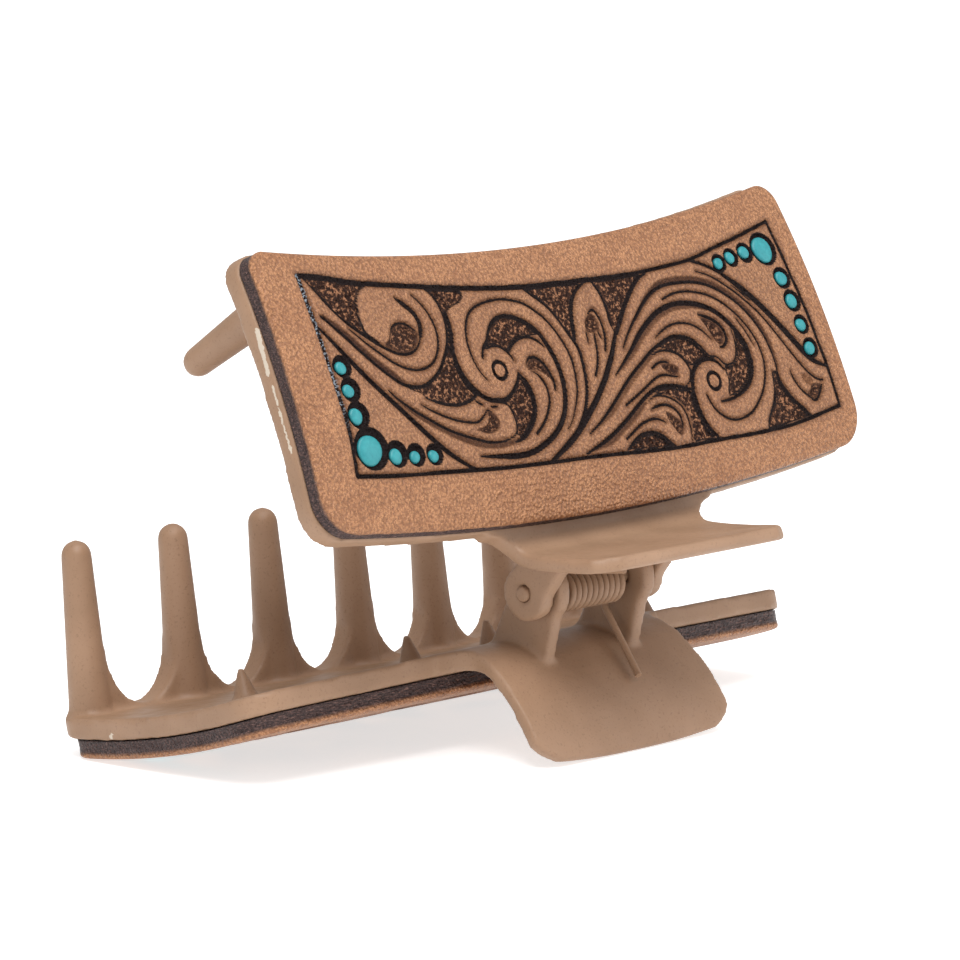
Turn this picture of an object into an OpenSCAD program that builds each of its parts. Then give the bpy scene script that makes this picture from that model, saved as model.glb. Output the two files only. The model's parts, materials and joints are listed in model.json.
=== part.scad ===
// Hair claw clip with two leather-faced jaws, standing open on its lower jaw.
// Each jaw is designed in its own frame: X along the hinge pin, Y from the leather's
// hinge-side edge to the teeth, Z from the plate's inner face towards the other jaw.

/* [Leather panels] */
// Length of a panel along its hinge-side edge
panel_len = 110; // [95:1:120]
// Length of a panel along its teeth-side edge
panel_len_teeth = 106.5; // [92:0.5:118]
// Width of a panel from its hinge side to its teeth side
panel_w = 39; // [34:0.5:46]
// Thickness of the leather
leather_t = 2.6; // [2:0.1:3]
// Rise of the arched hinge-side edge at the middle
hinge_sag = 3.6; // [2:0.1:5]
// Rise of the hollow teeth-side edge at the middle
teeth_sag = 5; // [3:0.1:6.5]
// Radius of a panel's two corners at the hinge side
panel_corner_r = 5; // [3:0.5:7]
// Radius of a panel's two corners at the teeth side
panel_corner_teeth_r = 3.5; // [3:0.5:6]
// Outward bow across the width
bow = 1.3; // [0.8:0.1:2.2]

/* [Jaw plates] */
// Thickness of the plastic plate
plate_t = 3; // [2.6:0.1:3.6]
// Plastic showing past the leather at the ends
end_rim = 0.3; // [0.2:0.1:1.4]
// Plastic showing past the leather at the hinge side
hinge_rim = 0.3; // [0.2:0.1:1]
// Plastic showing past the lower leather at the teeth side
lower_teeth_rim = 2; // [1.4:0.1:2.6]
// Plastic showing past the upper leather at the teeth side
upper_teeth_rim = 0.5; // [0.3:0.1:2.6]
// Line of glue between plate and leather
glue_gap = 0.15; // [0.1:0.05:0.3]
// Depth of the lower plate's inner face below the pin's axis
lower_gap = 6; // [5:0.1:7]
// Depth of the upper plate's inner face below the pin's axis
upper_gap = 4.4; // [4:0.1:6]
// Distance from the pin's axis to the hinge-side edge of the lower leather
lower_start = 9; // [8:0.1:11]
// Distance from the pin's axis to the hinge-side edge of the upper leather
upper_start = 7.6; // [7:0.1:10]
// Angle between the jaws as the clip stands open
open_angle = 80; // [70:1:90]

/* [Teeth] */
// Spacing of the teeth
pitch = 16.4; // [15.8:0.1:17]
// Number of teeth on the lower jaw, the upper jaw has one less
teeth_n = 7; // [7:1:7]
// Height of a tooth's rounded end above the inner face
tooth_h = 25; // [20:0.5:28]
// Diameter of a tooth at its foot
tooth_foot_d = 6.2; // [5.6:0.1:7.4]
// Diameter of a tooth at its tip
tooth_tip_d = 4.3; // [4:0.1:6]
// Lean of the teeth towards the hinge
tooth_lean = 8; // [4:0.5:10]
// Distance from the lower leather's edge in to the middle of the tooth row
lower_tooth_inset = 0.6; // [0:0.1:1.5]
// Distance from the upper leather's edge in to the middle of the tooth row
upper_tooth_inset = 2.8; // [0:0.1:3]
// Height of the web at the middle between two teeth
web_h = 0.4; // [0:0.1:3]
// Height that a tooth's flared foot takes above that
web_flare = 8.5; // [6:0.5:12]
// Thickness of the web
web_t = 3.6; // [3:0.1:5]
// Height of a small spike on the inner face
spike_h = 4.5; // [4:0.5:7]
// Diameter of a small spike at its foot
spike_d = 4.2; // [3:0.1:5]

/* [Levers] */
// Width of a lever at its waist
lever_waist_w = 37.5; // [34:0.5:40]
// Width of a lever at its tip
lever_tip_w = 40.5; // [39:0.5:44]
// Thickness of a lever past its bend
lever_t = 2; // [1.8:0.1:2.6]
// Radius of the bend where the lower lever leaves its plate, at mid thickness
lower_bend_r = 9; // [7:0.5:10]
// Angle of that bend
lower_bend_angle = 50; // [44:1:54]
// Radius of the lower lever's long curve, at mid thickness
lower_sweep_r = 29; // [26:1:34]
// Angle that the long curve adds
lower_sweep_angle = 28; // [24:1:30]
// Radius of the bend where the upper lever leaves its plate, at mid thickness
upper_bend_r = 5; // [5:0.5:8]
// Angle of that bend
upper_bend_angle = 66; // [60:1:70]
// Radius of the upper lever's long curve, at mid thickness
upper_sweep_r = 95; // [80:5:110]
// Angle that the long curve adds
upper_sweep_angle = 9; // [7:0.5:11]
// Radius of a lever's corners at its tip
lever_corner_r = 4.5; // [3:0.5:6]
// Rise of a lever's bowed tip
tip_bow = 1.2; // [0.6:0.1:2]
// Radius of the fillet between plate and lever
root_fillet_r = 4; // [3:0.5:5]

/* [Hinge and spring] */
// Diameter of the hinge pin
pin_d = 2.2; // [2:0.1:2.6]
// Radial clearance round the pin
pin_clear = 0.05; // [0.03:0.01:0.08]
// How far the pin stands out of each lug
pin_proud = 0.4; // [0.2:0.1:0.8]
// Width over the two outer lugs
lug_span = 25; // [23:0.5:27]
// Thickness of an outer lug
lug_t = 2.4; // [2:0.1:3]
// Radius of the round end of an outer lug
lug_r = 3.9; // [3.4:0.1:4.4]
// Thickness of a bracket inside the lugs
bracket_t = 2.2; // [1.8:0.1:2.6]
// Reach of a bracket's foot past the leather's hinge-side edge
bracket_foot = 2.5; // [2:0.5:5]
// Radius of a bracket round the pin
bracket_r = 4.7; // [4.2:0.1:5.2]
// Side play between a bracket and a lug
side_gap = 0.3; // [0.3:0.05:0.5]
// Diameter of the spring's wire
wire_d = 1; // [0.9:0.05:1.2]
// Outer diameter of the spring's coil
coil_d = 5.8; // [5.4:0.1:6.2]
// Number of turns
turns = 10; // [8:1:10]

/* [Hidden] */
$fn = 64;

// Shared allowances
over = 1;
// How far the top of a web's valley reaches into a tooth's round side
tooth_sink = 0.9;
// How far inside a lug's round head its foot starts
head_sink = 0.15;
// Half the angle that the flat at the middle of a long arc takes
mid_step = 0.7;
// How far a lever's root reaches into its plate
root_reach = 3;
half_len = panel_len / 2;
half_len_teeth = panel_len_teeth / 2;

// Radius and centre of a circular arc from its half chord and its rise
function arc_r(half, sag) = (half * half + sag * sag) / (2 * sag);
hinge_arc_r = arc_r(half_len, hinge_sag);
teeth_arc_r = arc_r(half_len_teeth, teeth_sag);
bow_r = arc_r(panel_w / 2, bow);

// Points along an arc of n steps, and the direction of a vector
function arc_pts(c, r, from, to, n) =
    [for (i = [0:n]) let (a = from + (to - from) * i / n) c + r * [cos(a), sin(a)]];
function bearing(v) = atan2(v[1], v[0]);

// A half outline with its mirror image, as one closed loop
function both_halves(half) = concat(half, [for (i = [len(half) - 1:-1:0]) [-half[i][0], half[i][1]]]);

// Arched outline of a panel, grown by near at the hinge, by side at the ends and by far at the teeth
function panel_points(near_rim, side, far) =
    let (r = panel_corner_r + side,
        r_far = panel_corner_teeth_r + side,
        hinge_r = hinge_arc_r + near_rim,
        hinge_c = [0, hinge_arc_r],
        teeth_r = teeth_arc_r - far,
        teeth_c = [0, panel_w + teeth_arc_r],
        slope = (half_len - half_len_teeth) / panel_w,
        x_near = half_len + side - r - slope * r,
        x_far = half_len_teeth + side - r_far + slope * r_far,
        near = [x_near, hinge_c[1] - sqrt(pow(hinge_r - r, 2) - x_near * x_near)],
        far_c = [x_far, teeth_c[1] - sqrt(pow(teeth_r + r_far, 2) - x_far * x_far)],
        near_turn = bearing(near - hinge_c),
        far_turn = bearing(teeth_c - far_c),
        end_lean = asin((r - r_far) / norm(far_c - near)),
        end_turn = bearing([far_c[1] - near[1], near[0] - far_c[0]]) + end_lean)
    both_halves(concat(
        arc_pts(hinge_c, hinge_r, -90 + mid_step, near_turn, 10),
        arc_pts(near, r, near_turn + 12, end_turn, 7),
        arc_pts(far_c, r_far, end_turn, far_turn, 8),
        arc_pts(teeth_c, teeth_r, far_turn - 181, -90 + mid_step, 9)));

// Depths below the plate's inner face, at its hinge-side edge
leather_in = plate_t + glue_gap;
leather_out = leather_in + leather_t;

// Centre of the bow, shared by both faces of the plate and of the leather
bow_y = panel_w / 2;
bow_z = bow_r - bow;

// A lever's mid line is a tight bend from the plate's edge, then a long curve. Its four
// values are the bend's radius and angle, then the long curve's
lower_line = [lower_bend_r, lower_bend_angle, lower_sweep_r, lower_sweep_angle];
upper_line = [upper_bend_r, upper_bend_angle, upper_sweep_r, upper_sweep_angle];
function bend_c(line) = [-hinge_rim, -plate_t / 2 - line[0]];
function sweep_c(line) = bend_c(line) + (line[0] - line[2]) * [-sin(line[1]), cos(line[1])];
// Point of the lever at an angle along it, off from its mid line
function lever_at(line, a, off) = a <= line[1]
    ? bend_c(line) + (line[0] + off) * [-sin(a), cos(a)]
    : sweep_c(line) + (line[2] + off) * [-sin(a), cos(a)];
function lever_tip(line) = lever_at(line, line[1] + line[3], 0);

// Half the lever's thickness, which thins from the plate's along the bend
function lever_half(line, a) = (plate_t + (lever_t - plate_t) * min(1, a / line[1])) / 2;

// The pin's axis as seen from each jaw's frame
lower_pin = [-lower_start, lower_gap];
upper_pin = [-upper_start, upper_gap];

// Where the tooth row lies at a distance x from the middle
function row_arc_r(inset) = teeth_arc_r + inset;
function row_y(x, inset) = panel_w + teeth_arc_r - sqrt(pow(row_arc_r(inset), 2) - x * x);

// The clip rests on the lever's tip and on the leather's two far corners
far_corner_y = max([for (p = panel_points(0, 0, 0)) p[1]]);
far_corner = [far_corner_y, bow_z - sqrt(pow(bow_r + leather_out, 2) - pow(far_corner_y - bow_y, 2))];
rest_run = far_corner - lever_tip(lower_line);
rest_tilt = atan2(rest_run[1], rest_run[0]) + asin(lever_t / 2 / norm(rest_run));
rest_h = far_corner[0] * sin(rest_tilt) - far_corner[1] * cos(rest_tilt);

// A point of a side view, turned down by an angle about the origin
function turned(p, a) = [p[0] * cos(a) + p[1] * sin(a), p[1] * cos(a) - p[0] * sin(a)];

// Middle of the clip's box, between the upper lever's tip and the end teeth's tips
tooth_peg = tooth_h - tooth_tip_d / 2;
end_tooth_x = (teeth_n - 1) / 2 * pitch;
end_tooth_foot = row_y(end_tooth_x, lower_tooth_inset);
end_tooth_tip = [end_tooth_foot - tooth_peg * sin(tooth_lean), tooth_peg * cos(tooth_lean)];
box_front = turned(end_tooth_tip, rest_tilt)[0] + tooth_tip_d / 2;
upper_lever_end = turned(lever_tip(upper_line) - upper_pin, open_angle - rest_tilt);
box_back = turned(lower_pin, rest_tilt)[0] + upper_lever_end[0] - lever_t / 2;
box_mid_y = (box_front + box_back) / 2;

// Places of the small spikes, between the teeth
lower_spikes = [-2.5, -0.5, 0.5, 2.5] * pitch;
upper_spikes = [-2, -1, 1, 2] * pitch;

// Places along the pin
lug_out = lug_span / 2;
bracket_out = lug_out - lug_t - side_gap;
bore_d = pin_d + 2 * pin_clear;

tan_plastic = [0.67, 0.55, 0.43];
tan_leather = [0.62, 0.38, 0.22];

// Stands the lower jaw's frame on the floor
module stand() {
    translate([0, -box_mid_y, rest_h]) rotate([-rest_tilt, 0, 0]) children();
}

// Moves what is drawn about the pin into the lower jaw's frame
module at_pin() {
    translate([0, lower_pin[0], lower_pin[1]]) children();
}

// Turns the upper jaw's frame over and swings it open about the pin
module swing_open() {
    at_pin() rotate([open_angle, 0, 0]) mirror([0, 0, 1])
        translate([0, -upper_pin[0], -upper_pin[1]]) children();
}

// Layer between two depths that follows the bow across the width
module bowed_layer(top, bottom) {
    translate([-panel_len, bow_y, bow_z]) rotate([90, 0, 90]) linear_extrude(2 * panel_len)
        intersection() {
            difference() {
                circle(r = bow_r + bottom, $fn = 256);
                circle(r = bow_r + top, $fn = 256);
            }
            translate([-panel_w, -2 * bow_r]) square([2 * panel_w, 2 * bow_r]);
        }
}

// A flat panel's outline cut from a bowed layer
module bowed_panel(top, bottom, near_rim, side, far) {
    intersection() {
        bowed_layer(top, bottom);
        translate([0, 0, -2 * leather_out]) linear_extrude(3 * leather_out)
            polygon(panel_points(near_rim, side, far));
    }
}

module leather_panel() {
    bowed_panel(leather_in, leather_out, 0, 0, 0);
}

// One tooth: a tapered round peg with a ball end
module tooth(x, inset) {
    sunk = plate_t / 2;
    translate([x, row_y(x, inset), 0]) rotate([tooth_lean, 0, 0]) {
        translate([0, 0, -sunk]) cylinder(h = tooth_peg + sunk, d1 = tooth_foot_d, d2 = tooth_tip_d);
        translate([0, 0, tooth_peg]) sphere(d = tooth_tip_d);
    }
}

// Web between the teeth, leaning as they do, with oval valleys that flare each tooth's foot
module web(n, inset) {
    row_half = (n - 1) * pitch / 2;
    valley_half = (pitch - tooth_foot_d) / 2 + tooth_sink;
    wall_h = web_h + web_flare;
    lean_y = row_y(0, inset);
    oval = [for (a = [180:15:360]) [valley_half * cos(a), web_flare * sin(a)]];
    translate([0, lean_y, 0]) rotate([tooth_lean, 0, 0]) translate([0, -lean_y, 0]) difference() {
        intersection() {
            translate([0, 0, -plate_t / 2]) linear_extrude(wall_h + plate_t / 2) difference() {
                translate([0, panel_w + teeth_arc_r]) circle(r = row_arc_r(inset) + web_t / 2, $fn = 512);
                translate([0, panel_w + teeth_arc_r]) circle(r = row_arc_r(inset) - web_t / 2, $fn = 512);
            }
            translate([-row_half, 0, -plate_t])
                cube([2 * row_half, panel_w + teeth_sag + web_t, wall_h + 2 * plate_t]);
        }
        for (i = [0.5:1:n - 1.5])
            translate([i * pitch - row_half, 2 * panel_w, wall_h]) rotate([90, 0, 0])
                linear_extrude(2 * panel_w) polygon(oval);
    }
}

// Small pointed spikes that keep the hair from slipping
module spikes(places) {
    for (x = places)
        translate([x, bow_y, -bow - over / 2])
            cylinder(h = spike_h + over / 2, d1 = spike_d, d2 = 0.8);
}

// Side view of a lever, as a band that thins along the bend and ends round
module lever_profile(line) {
    angles = concat(
        [for (i = [0:8]) line[1] * i / 8],
        [for (i = [1:8]) line[1] + line[3] * i / 8]);
    last = len(angles) - 1;
    root = bend_c(line) + [root_reach, line[0]];
    polygon(concat(
        [root + [0, plate_t / 2]],
        [for (a = angles) lever_at(line, a, lever_half(line, a))],
        [for (i = [last:-1:0]) lever_at(line, angles[i], -lever_half(line, angles[i]))],
        [root - [0, plate_t / 2]]));
    translate(lever_tip(line)) circle(r = lever_t / 2);
}

// Outline of a lever from above: fillets at the plate, a waist and a flare to the tip
module lever_plan(line) {
    w = lever_waist_w / 2;
    r = root_fillet_r;
    polygon(both_halves(concat(
        [[w + r, hinge_sag]],
        arc_pts([w + r, -hinge_rim - r], r, 90, 180, 8),
        [[lever_tip_w / 2, lever_tip(line)[0] - plate_t]])));
}

// Outline of a lever from behind: round corners and a slightly bowed tip
module lever_tip_outline(line) {
    r = lever_corner_r;
    w = lever_tip_w / 2;
    z_tip = lever_tip(line)[1] - lever_t / 2;
    corner = [w - r, z_tip + tip_bow + r];
    tip_r = arc_r(w, tip_bow);
    tip_turn = -90 + asin((w - r) / (tip_r - r));
    polygon(both_halves(concat(
        arc_pts([0, z_tip + tip_r], tip_r, -89.5, tip_turn, 5),
        arc_pts(corner, r, tip_turn + 12, 0, 6),
        [[w, -plate_t], [lever_tip_w, -plate_t], [lever_tip_w, plate_t]])));
}

// Finger lever, bent outwards from the middle of the hinge-side edge
module lever(line) {
    deep = -2 * lever_tip(line)[1];
    intersection() {
        translate([-lever_tip_w, 0, 0]) rotate([90, 0, 90])
            linear_extrude(2 * lever_tip_w) lever_profile(line);
        translate([0, 0, -deep]) linear_extrude(2 * deep) lever_plan(line);
        rotate([90, 0, 0]) translate([0, 0, -panel_w]) linear_extrude(2 * panel_w) lever_tip_outline(line);
    }
}

// Foot of a lug, along the lever's mid line down to an angle along it
function lug_foot(line, to) = [for (a = [0, line[1] / 2, line[1], to]) lever_at(line, a, 0)];

// Side view of a lug: a round head on the pin and a foot that runs from inside the head into the jaw
module lug_shape(pin, head_r, foot) {
    r = head_r - head_sink;
    translate(pin) circle(r = head_r);
    polygon(concat([pin - [r, 0], pin + r * [cos(30), sin(30)]], foot));
}

// A pair of lugs whose outer faces are at x = out on both sides
module lugs(out, t) {
    for (s = [0, 1]) mirror([s, 0, 0])
        translate([out - t, 0, 0]) rotate([90, 0, 90]) linear_extrude(t) children();
}

// A jaw without its lugs, with n teeth
module jaw_body(n, teeth_rim, inset, line, spike_places) {
    bowed_panel(0, plate_t, hinge_rim, end_rim, teeth_rim);
    for (i = [0:n - 1]) tooth((i - (n - 1) / 2) * pitch, inset);
    web(n, inset);
    spikes(spike_places);
    lever(line);
}

// Bore through both lugs for the pin
module pin_bore(pin) {
    translate([-lug_span, pin[0], pin[1]]) rotate([0, 90, 0]) cylinder(h = 2 * lug_span, d = bore_d);
}

module lower_jaw() {
    color(tan_plastic) stand() difference() {
        union() {
            jaw_body(teeth_n, lower_teeth_rim, lower_tooth_inset, lower_line, lower_spikes);
            lugs(bracket_out, bracket_t) lug_shape(lower_pin, bracket_r, concat(
                [[bracket_foot, -over]], lug_foot(lower_line, lower_bend_angle + 1)));
        }
        pin_bore(lower_pin);
    }
}

module upper_jaw() {
    color(tan_plastic) stand() swing_open() difference() {
        union() {
            jaw_body(teeth_n - 1, upper_teeth_rim, upper_tooth_inset, upper_line, upper_spikes);
            lugs(lug_out, lug_t) lug_shape(upper_pin, lug_r, lug_foot(upper_line, upper_bend_angle + 1));
        }
        pin_bore(upper_pin);
    }
}

module lower_leather() {
    color(tan_leather) stand() leather_panel();
}

module upper_leather() {
    color(tan_leather) stand() swing_open() leather_panel();
}

module hinge_pin() {
    l = lug_span + 2 * pin_proud;
    color(tan_plastic) stand() at_pin() translate([-l / 2, 0, 0]) rotate([0, 90, 0])
        cylinder(h = l, d = pin_d);
}

// Wire of the spring, swept as rings of points along a path
wire_sides = 6;
function unit(v) = v / norm(v);
function path_dir(p, i) = unit(p[min(i + 1, len(p) - 1)] - p[max(i - 1, 0)]);
function ring(c, d, side, r) = let (u = unit(cross(d, side)), v = cross(u, d))
    [for (k = [0:wire_sides - 1]) c + r * (u * cos(360 * k / wire_sides) + v * sin(360 * k / wire_sides))];

module wire(path) {
    n = len(path);
    s = wire_sides;
    points = [for (i = [0:n - 1]) each ring(path[i], path_dir(path, i), [1, 0, 0], wire_d / 2)];
    sides = [for (i = [0:n - 2], k = [0:s - 1]) each [
        [i * s + k, (i + 1) * s + (k + 1) % s, (i + 1) * s + k],
        [i * s + k, i * s + (k + 1) % s, (i + 1) * s + (k + 1) % s]]];
    ends = [[for (k = [s - 1:-1:0]) k], [for (k = [0:s - 1]) (n - 1) * s + k]];
    polyhedron(points = points, faces = concat(sides, ends), convexity = 10);
}

// The coil hangs on the pin between the brackets, beside the leg of the upper lever
coil_r = (coil_d - wire_d) / 2;
coil_pitch = wire_d + 0.12;
coil_steps = 14;
coil_drop = coil_r - wire_d / 2 - pin_d / 2 - 0.1;
leg_x = -bracket_out + bracket_t + 0.4 + wire_d / 2;
coil_start = leg_x + wire_d + 0.15;
coil_end = coil_start + coil_pitch * turns;
function coil_pt(turn) =
    [coil_start + coil_pitch * turn, coil_r * cos(360 * turn), -coil_drop - coil_r * sin(360 * turn)];

// End of a leg beside a lever's inner face: its place along the pin and its angle along the lever
lower_leg = [4, 61];
upper_leg = [leg_x, 70];
leg_lift = 0.65;
function leg_tip(leg, line, pin) =
    let (p = lever_at(line, leg[1], lever_t / 2 + wire_d / 2 + leg_lift) - pin) [leg[0], p[0], p[1]];

module spring() {
    coil = [for (i = [0:turns * coil_steps]) coil_pt(i / coil_steps)];
    bend = [coil_end - 0.1, coil_r - 0.2, -coil_drop - coil_d / 2 - 0.6];
    color(tan_plastic) stand() at_pin() wire(concat(coil, [bend, leg_tip(lower_leg, lower_line, lower_pin)]));
}

module spring_leg() {
    color(tan_plastic) stand() swing_open() translate([0, upper_pin[0], upper_pin[1]])
        wire([[leg_x, coil_r, -0.5], leg_tip(upper_leg, upper_line, upper_pin)]);
}

lower_jaw();
upper_jaw();
lower_leather();
upper_leather();
hinge_pin();
spring();
spring_leg();
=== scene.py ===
# %% [markdown]
# # A hair claw clip with tooled leather faces
#
# The clip is two moulded plastic jaws on a spring hinge. A leather panel, carved by
# hand with western scrolls, is glued on the outer face of each jaw. The packed model
# already holds every piece at its real size, so this lesson only dresses it: it
# softens the moulding's edges, carves the leather as real relief, winds the spring in
# round wire, and gives each surface its finish.

# %% Load the packed clip
import bpy
import json
import numpy as np
from mathutils import Matrix, Vector


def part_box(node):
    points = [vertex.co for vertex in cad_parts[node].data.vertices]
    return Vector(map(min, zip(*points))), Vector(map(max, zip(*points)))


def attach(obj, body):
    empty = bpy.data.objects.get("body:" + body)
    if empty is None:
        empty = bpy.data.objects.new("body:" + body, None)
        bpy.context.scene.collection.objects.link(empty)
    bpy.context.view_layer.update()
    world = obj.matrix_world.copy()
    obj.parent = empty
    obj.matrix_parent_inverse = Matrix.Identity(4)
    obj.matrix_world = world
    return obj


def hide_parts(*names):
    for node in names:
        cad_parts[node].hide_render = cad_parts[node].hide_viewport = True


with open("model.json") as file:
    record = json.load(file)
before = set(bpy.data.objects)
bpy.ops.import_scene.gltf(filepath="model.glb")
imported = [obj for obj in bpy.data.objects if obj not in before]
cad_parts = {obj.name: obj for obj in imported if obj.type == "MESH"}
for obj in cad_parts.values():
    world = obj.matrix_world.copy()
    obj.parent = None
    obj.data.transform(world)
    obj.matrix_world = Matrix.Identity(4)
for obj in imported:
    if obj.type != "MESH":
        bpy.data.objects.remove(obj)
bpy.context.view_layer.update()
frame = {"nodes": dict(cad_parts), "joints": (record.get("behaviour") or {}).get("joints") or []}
mm = 0.001

# %% [markdown]
# ## The camera
#
# The photo was taken from the left end, a little above the floor, with a long lens.
# A long lens far away keeps the two panels' edges nearly parallel, as in the photo.
# The camera is made first, so that every later look goes through it. The Standard view
# shows an evenly lit surface in its own base colour, so colours are easy to match.

# %% Place the camera
photo_side = 960
lens_px = 6228
eye = Vector((-629.5, -599.3, 166.8)) * mm
aim = Vector((1.46, 6.11, 35.07)) * mm
roll_deg = -1.13

camera = bpy.data.objects.new("camera", bpy.data.cameras.new("camera"))
bpy.context.scene.collection.objects.link(camera)
camera.data.sensor_width = 36
camera.data.lens = 36 * lens_px / photo_side
camera.data.clip_start = 0.01
camera.location = eye
look = (aim - eye).to_track_quat("-Z", "Y").to_matrix()
camera.rotation_euler = (look @ Matrix.Rotation(np.radians(roll_deg), 3, "Z")).to_euler()
bpy.context.scene.camera = camera
bpy.context.scene.view_settings.view_transform = "Standard"
print("lens in mm:", camera.data.lens)

# %% [markdown]
# ## Light and floor
#
# The clip is shown cut out on white. An even white world gives most of the light, so
# that no side is dark. A soft lamp from the upper left and one overhead shade the forms,
# and a weak one fills the right. The floor is pale and glows a little: it stays white
# right up to the clip, and only a faint shadow is left on it.


# %% Build the studio
def soft_light(name, place, look_at, size, watts):
    lamp = bpy.data.objects.new(name, bpy.data.lights.new(name, "AREA"))
    lamp.data.shape = "DISK"
    lamp.data.size = size
    lamp.data.energy = watts
    lamp.location = place
    lamp.rotation_euler = (Vector(look_at) - Vector(place)).to_track_quat("-Z", "Y").to_euler()
    bpy.context.scene.collection.objects.link(lamp)


middle = (0, 0, 0.035)
soft_light("key", (-0.4, -0.4, 0.85), middle, 0.5, 6.5)
soft_light("fill", (0.55, -0.65, 0.35), middle, 0.6, 1.5)
soft_light("top", (0.05, -0.25, 1.0), middle, 0.6, 4)

world = bpy.data.worlds.new("studio")
bpy.context.scene.world = world
world.use_nodes = True
world.node_tree.nodes["Background"].inputs["Color"].default_value = (1, 1, 1, 1)
world.node_tree.nodes["Background"].inputs["Strength"].default_value = 0.56

far = 3
floor_mesh = bpy.data.meshes.new("floor")
floor_corners = [(-far, -far, 0), (far, -far, 0), (far, far, 0), (-far, far, 0)]
floor_mesh.from_pydata(floor_corners, [], [(0, 1, 2, 3)])
floor = bpy.data.objects.new("floor", floor_mesh)
bpy.context.scene.collection.objects.link(floor)
print("lamps:", [lamp.name for lamp in bpy.data.lights])

# %% [markdown]
# ## How a material is put together
#
# Each finish is a few shader nodes: a colour, a roughness and a fine bump. Small
# helpers keep the later cells short. A value that is the same all over is typed
# into the shader's own socket, and only what varies over the surface is wired.


# %% Shader helpers
class Finish:
    """One material and short ways to add its nodes."""

    def __init__(self, name, colour, roughness, **sockets):
        self.material = bpy.data.materials.new(name)
        self.material.use_nodes = True
        self.nodes = self.material.node_tree.nodes
        self.wire = self.material.node_tree.links.new
        self.shader = self.nodes["Principled BSDF"]
        self.shader.inputs["Base Color"].default_value = (*colour, 1)
        self.shader.inputs["Roughness"].default_value = roughness
        for socket, value in sockets.items():
            self.shader.inputs[socket.replace("_", " ")].default_value = value
        self.place = self.nodes.new("ShaderNodeTexCoord").outputs["Object"]

    def noise(self, size_mm, detail=3, rough=0.5, stretch=None):
        node = self.nodes.new("ShaderNodeTexNoise")
        node.inputs["Scale"].default_value = 1 / (size_mm * mm)
        node.inputs["Detail"].default_value = detail
        node.inputs["Roughness"].default_value = rough
        self.wire(self.stretched(stretch), node.inputs["Vector"])
        return node.outputs["Fac"]

    def pebbles(self, size_mm, stretch=None):
        node = self.nodes.new("ShaderNodeTexVoronoi")
        node.feature = "SMOOTH_F1"
        node.inputs["Scale"].default_value = 1 / (size_mm * mm)
        node.inputs["Smoothness"].default_value = 0.6
        self.wire(self.stretched(stretch), node.inputs["Vector"])
        return node.outputs["Distance"]

    def stretched(self, stretch):
        if stretch is None:
            return self.place
        node = self.nodes.new("ShaderNodeMapping")
        node.inputs["Scale"].default_value = stretch
        self.wire(self.place, node.inputs["Vector"])
        return node.outputs["Vector"]

    def attribute(self, name):
        node = self.nodes.new("ShaderNodeAttribute")
        node.attribute_name = name
        return node.outputs["Fac"]

    def maths(self, kind, a, b, clamp=False):
        node = self.nodes.new("ShaderNodeMath")
        node.operation = kind
        node.use_clamp = clamp
        for socket, value in zip(node.inputs, (a, b)):
            if isinstance(value, (int, float)):
                socket.default_value = value
            else:
                self.wire(value, socket)
        return node.outputs[0]

    def ramp(self, value, *stops):
        node = self.nodes.new("ShaderNodeValToRGB")
        while len(node.color_ramp.elements) < len(stops):
            node.color_ramp.elements.new(0.5)
        for element, (where, colour) in zip(node.color_ramp.elements, stops):
            element.position = where
            element.color = (*colour, 1) if len(colour) == 3 else (colour[0],) * 3 + (1,)
        self.wire(value, node.inputs["Fac"])
        return node.outputs["Color"]

    def mix(self, share, a, b):
        node = self.nodes.new("ShaderNodeMix")
        node.data_type = "RGBA"
        self.wire(share, node.inputs["Factor"])
        for socket, value in ((node.inputs[6], a), (node.inputs[7], b)):
            if isinstance(value, tuple):
                socket.default_value = (*value, 1)
            else:
                self.wire(value, socket)
        return node.outputs[2]

    def bump(self, height, depth_mm, strength=1.0, under=None):
        node = self.nodes.new("ShaderNodeBump")
        node.inputs["Distance"].default_value = depth_mm * mm
        node.inputs["Strength"].default_value = strength
        self.wire(height, node.inputs["Height"])
        if under is not None:
            self.wire(under, node.inputs["Normal"])
        self.wire(node.outputs["Normal"], self.shader.inputs["Normal"])
        return node.outputs["Normal"]

    def colour(self, value):
        self.wire(value, self.shader.inputs["Base Color"])

    def roughness(self, value):
        self.wire(value, self.shader.inputs["Roughness"])


def dress(obj, finish):
    obj.data.materials.clear()
    obj.data.materials.append(finish.material)


print("helpers:", [name for name in vars(Finish) if not name.startswith("_")])

# %% [markdown]
# The floor is the simplest finish of all: one pale matt colour and a little glow. It
# needs no texture, because nothing of it should draw the eye.

# %% Finish the floor
paper = Finish("pale_floor", (0.72, 0.72, 0.72), 0.9,
               Emission_Color=(1, 1, 1, 1), Emission_Strength=0.66)
floor.data.materials.append(paper.material)
print("floor finish:", paper.material.name)

# %% [markdown]
# ## The tan plastic
#
# The jaws are moulded in hard plastic and sprayed with a thin rubbery tan coat, which
# also covers the pin and the spring. It is nearly matt, with a fine orange-peel grain,
# slightly warmer and darker patches, and small dark specks. Where an edge was knocked,
# a pale chip shows. The chips are a vertex attribute, painted later by distance,
# because a noise alone would put them anywhere. The noise only frays their outline.

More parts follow.
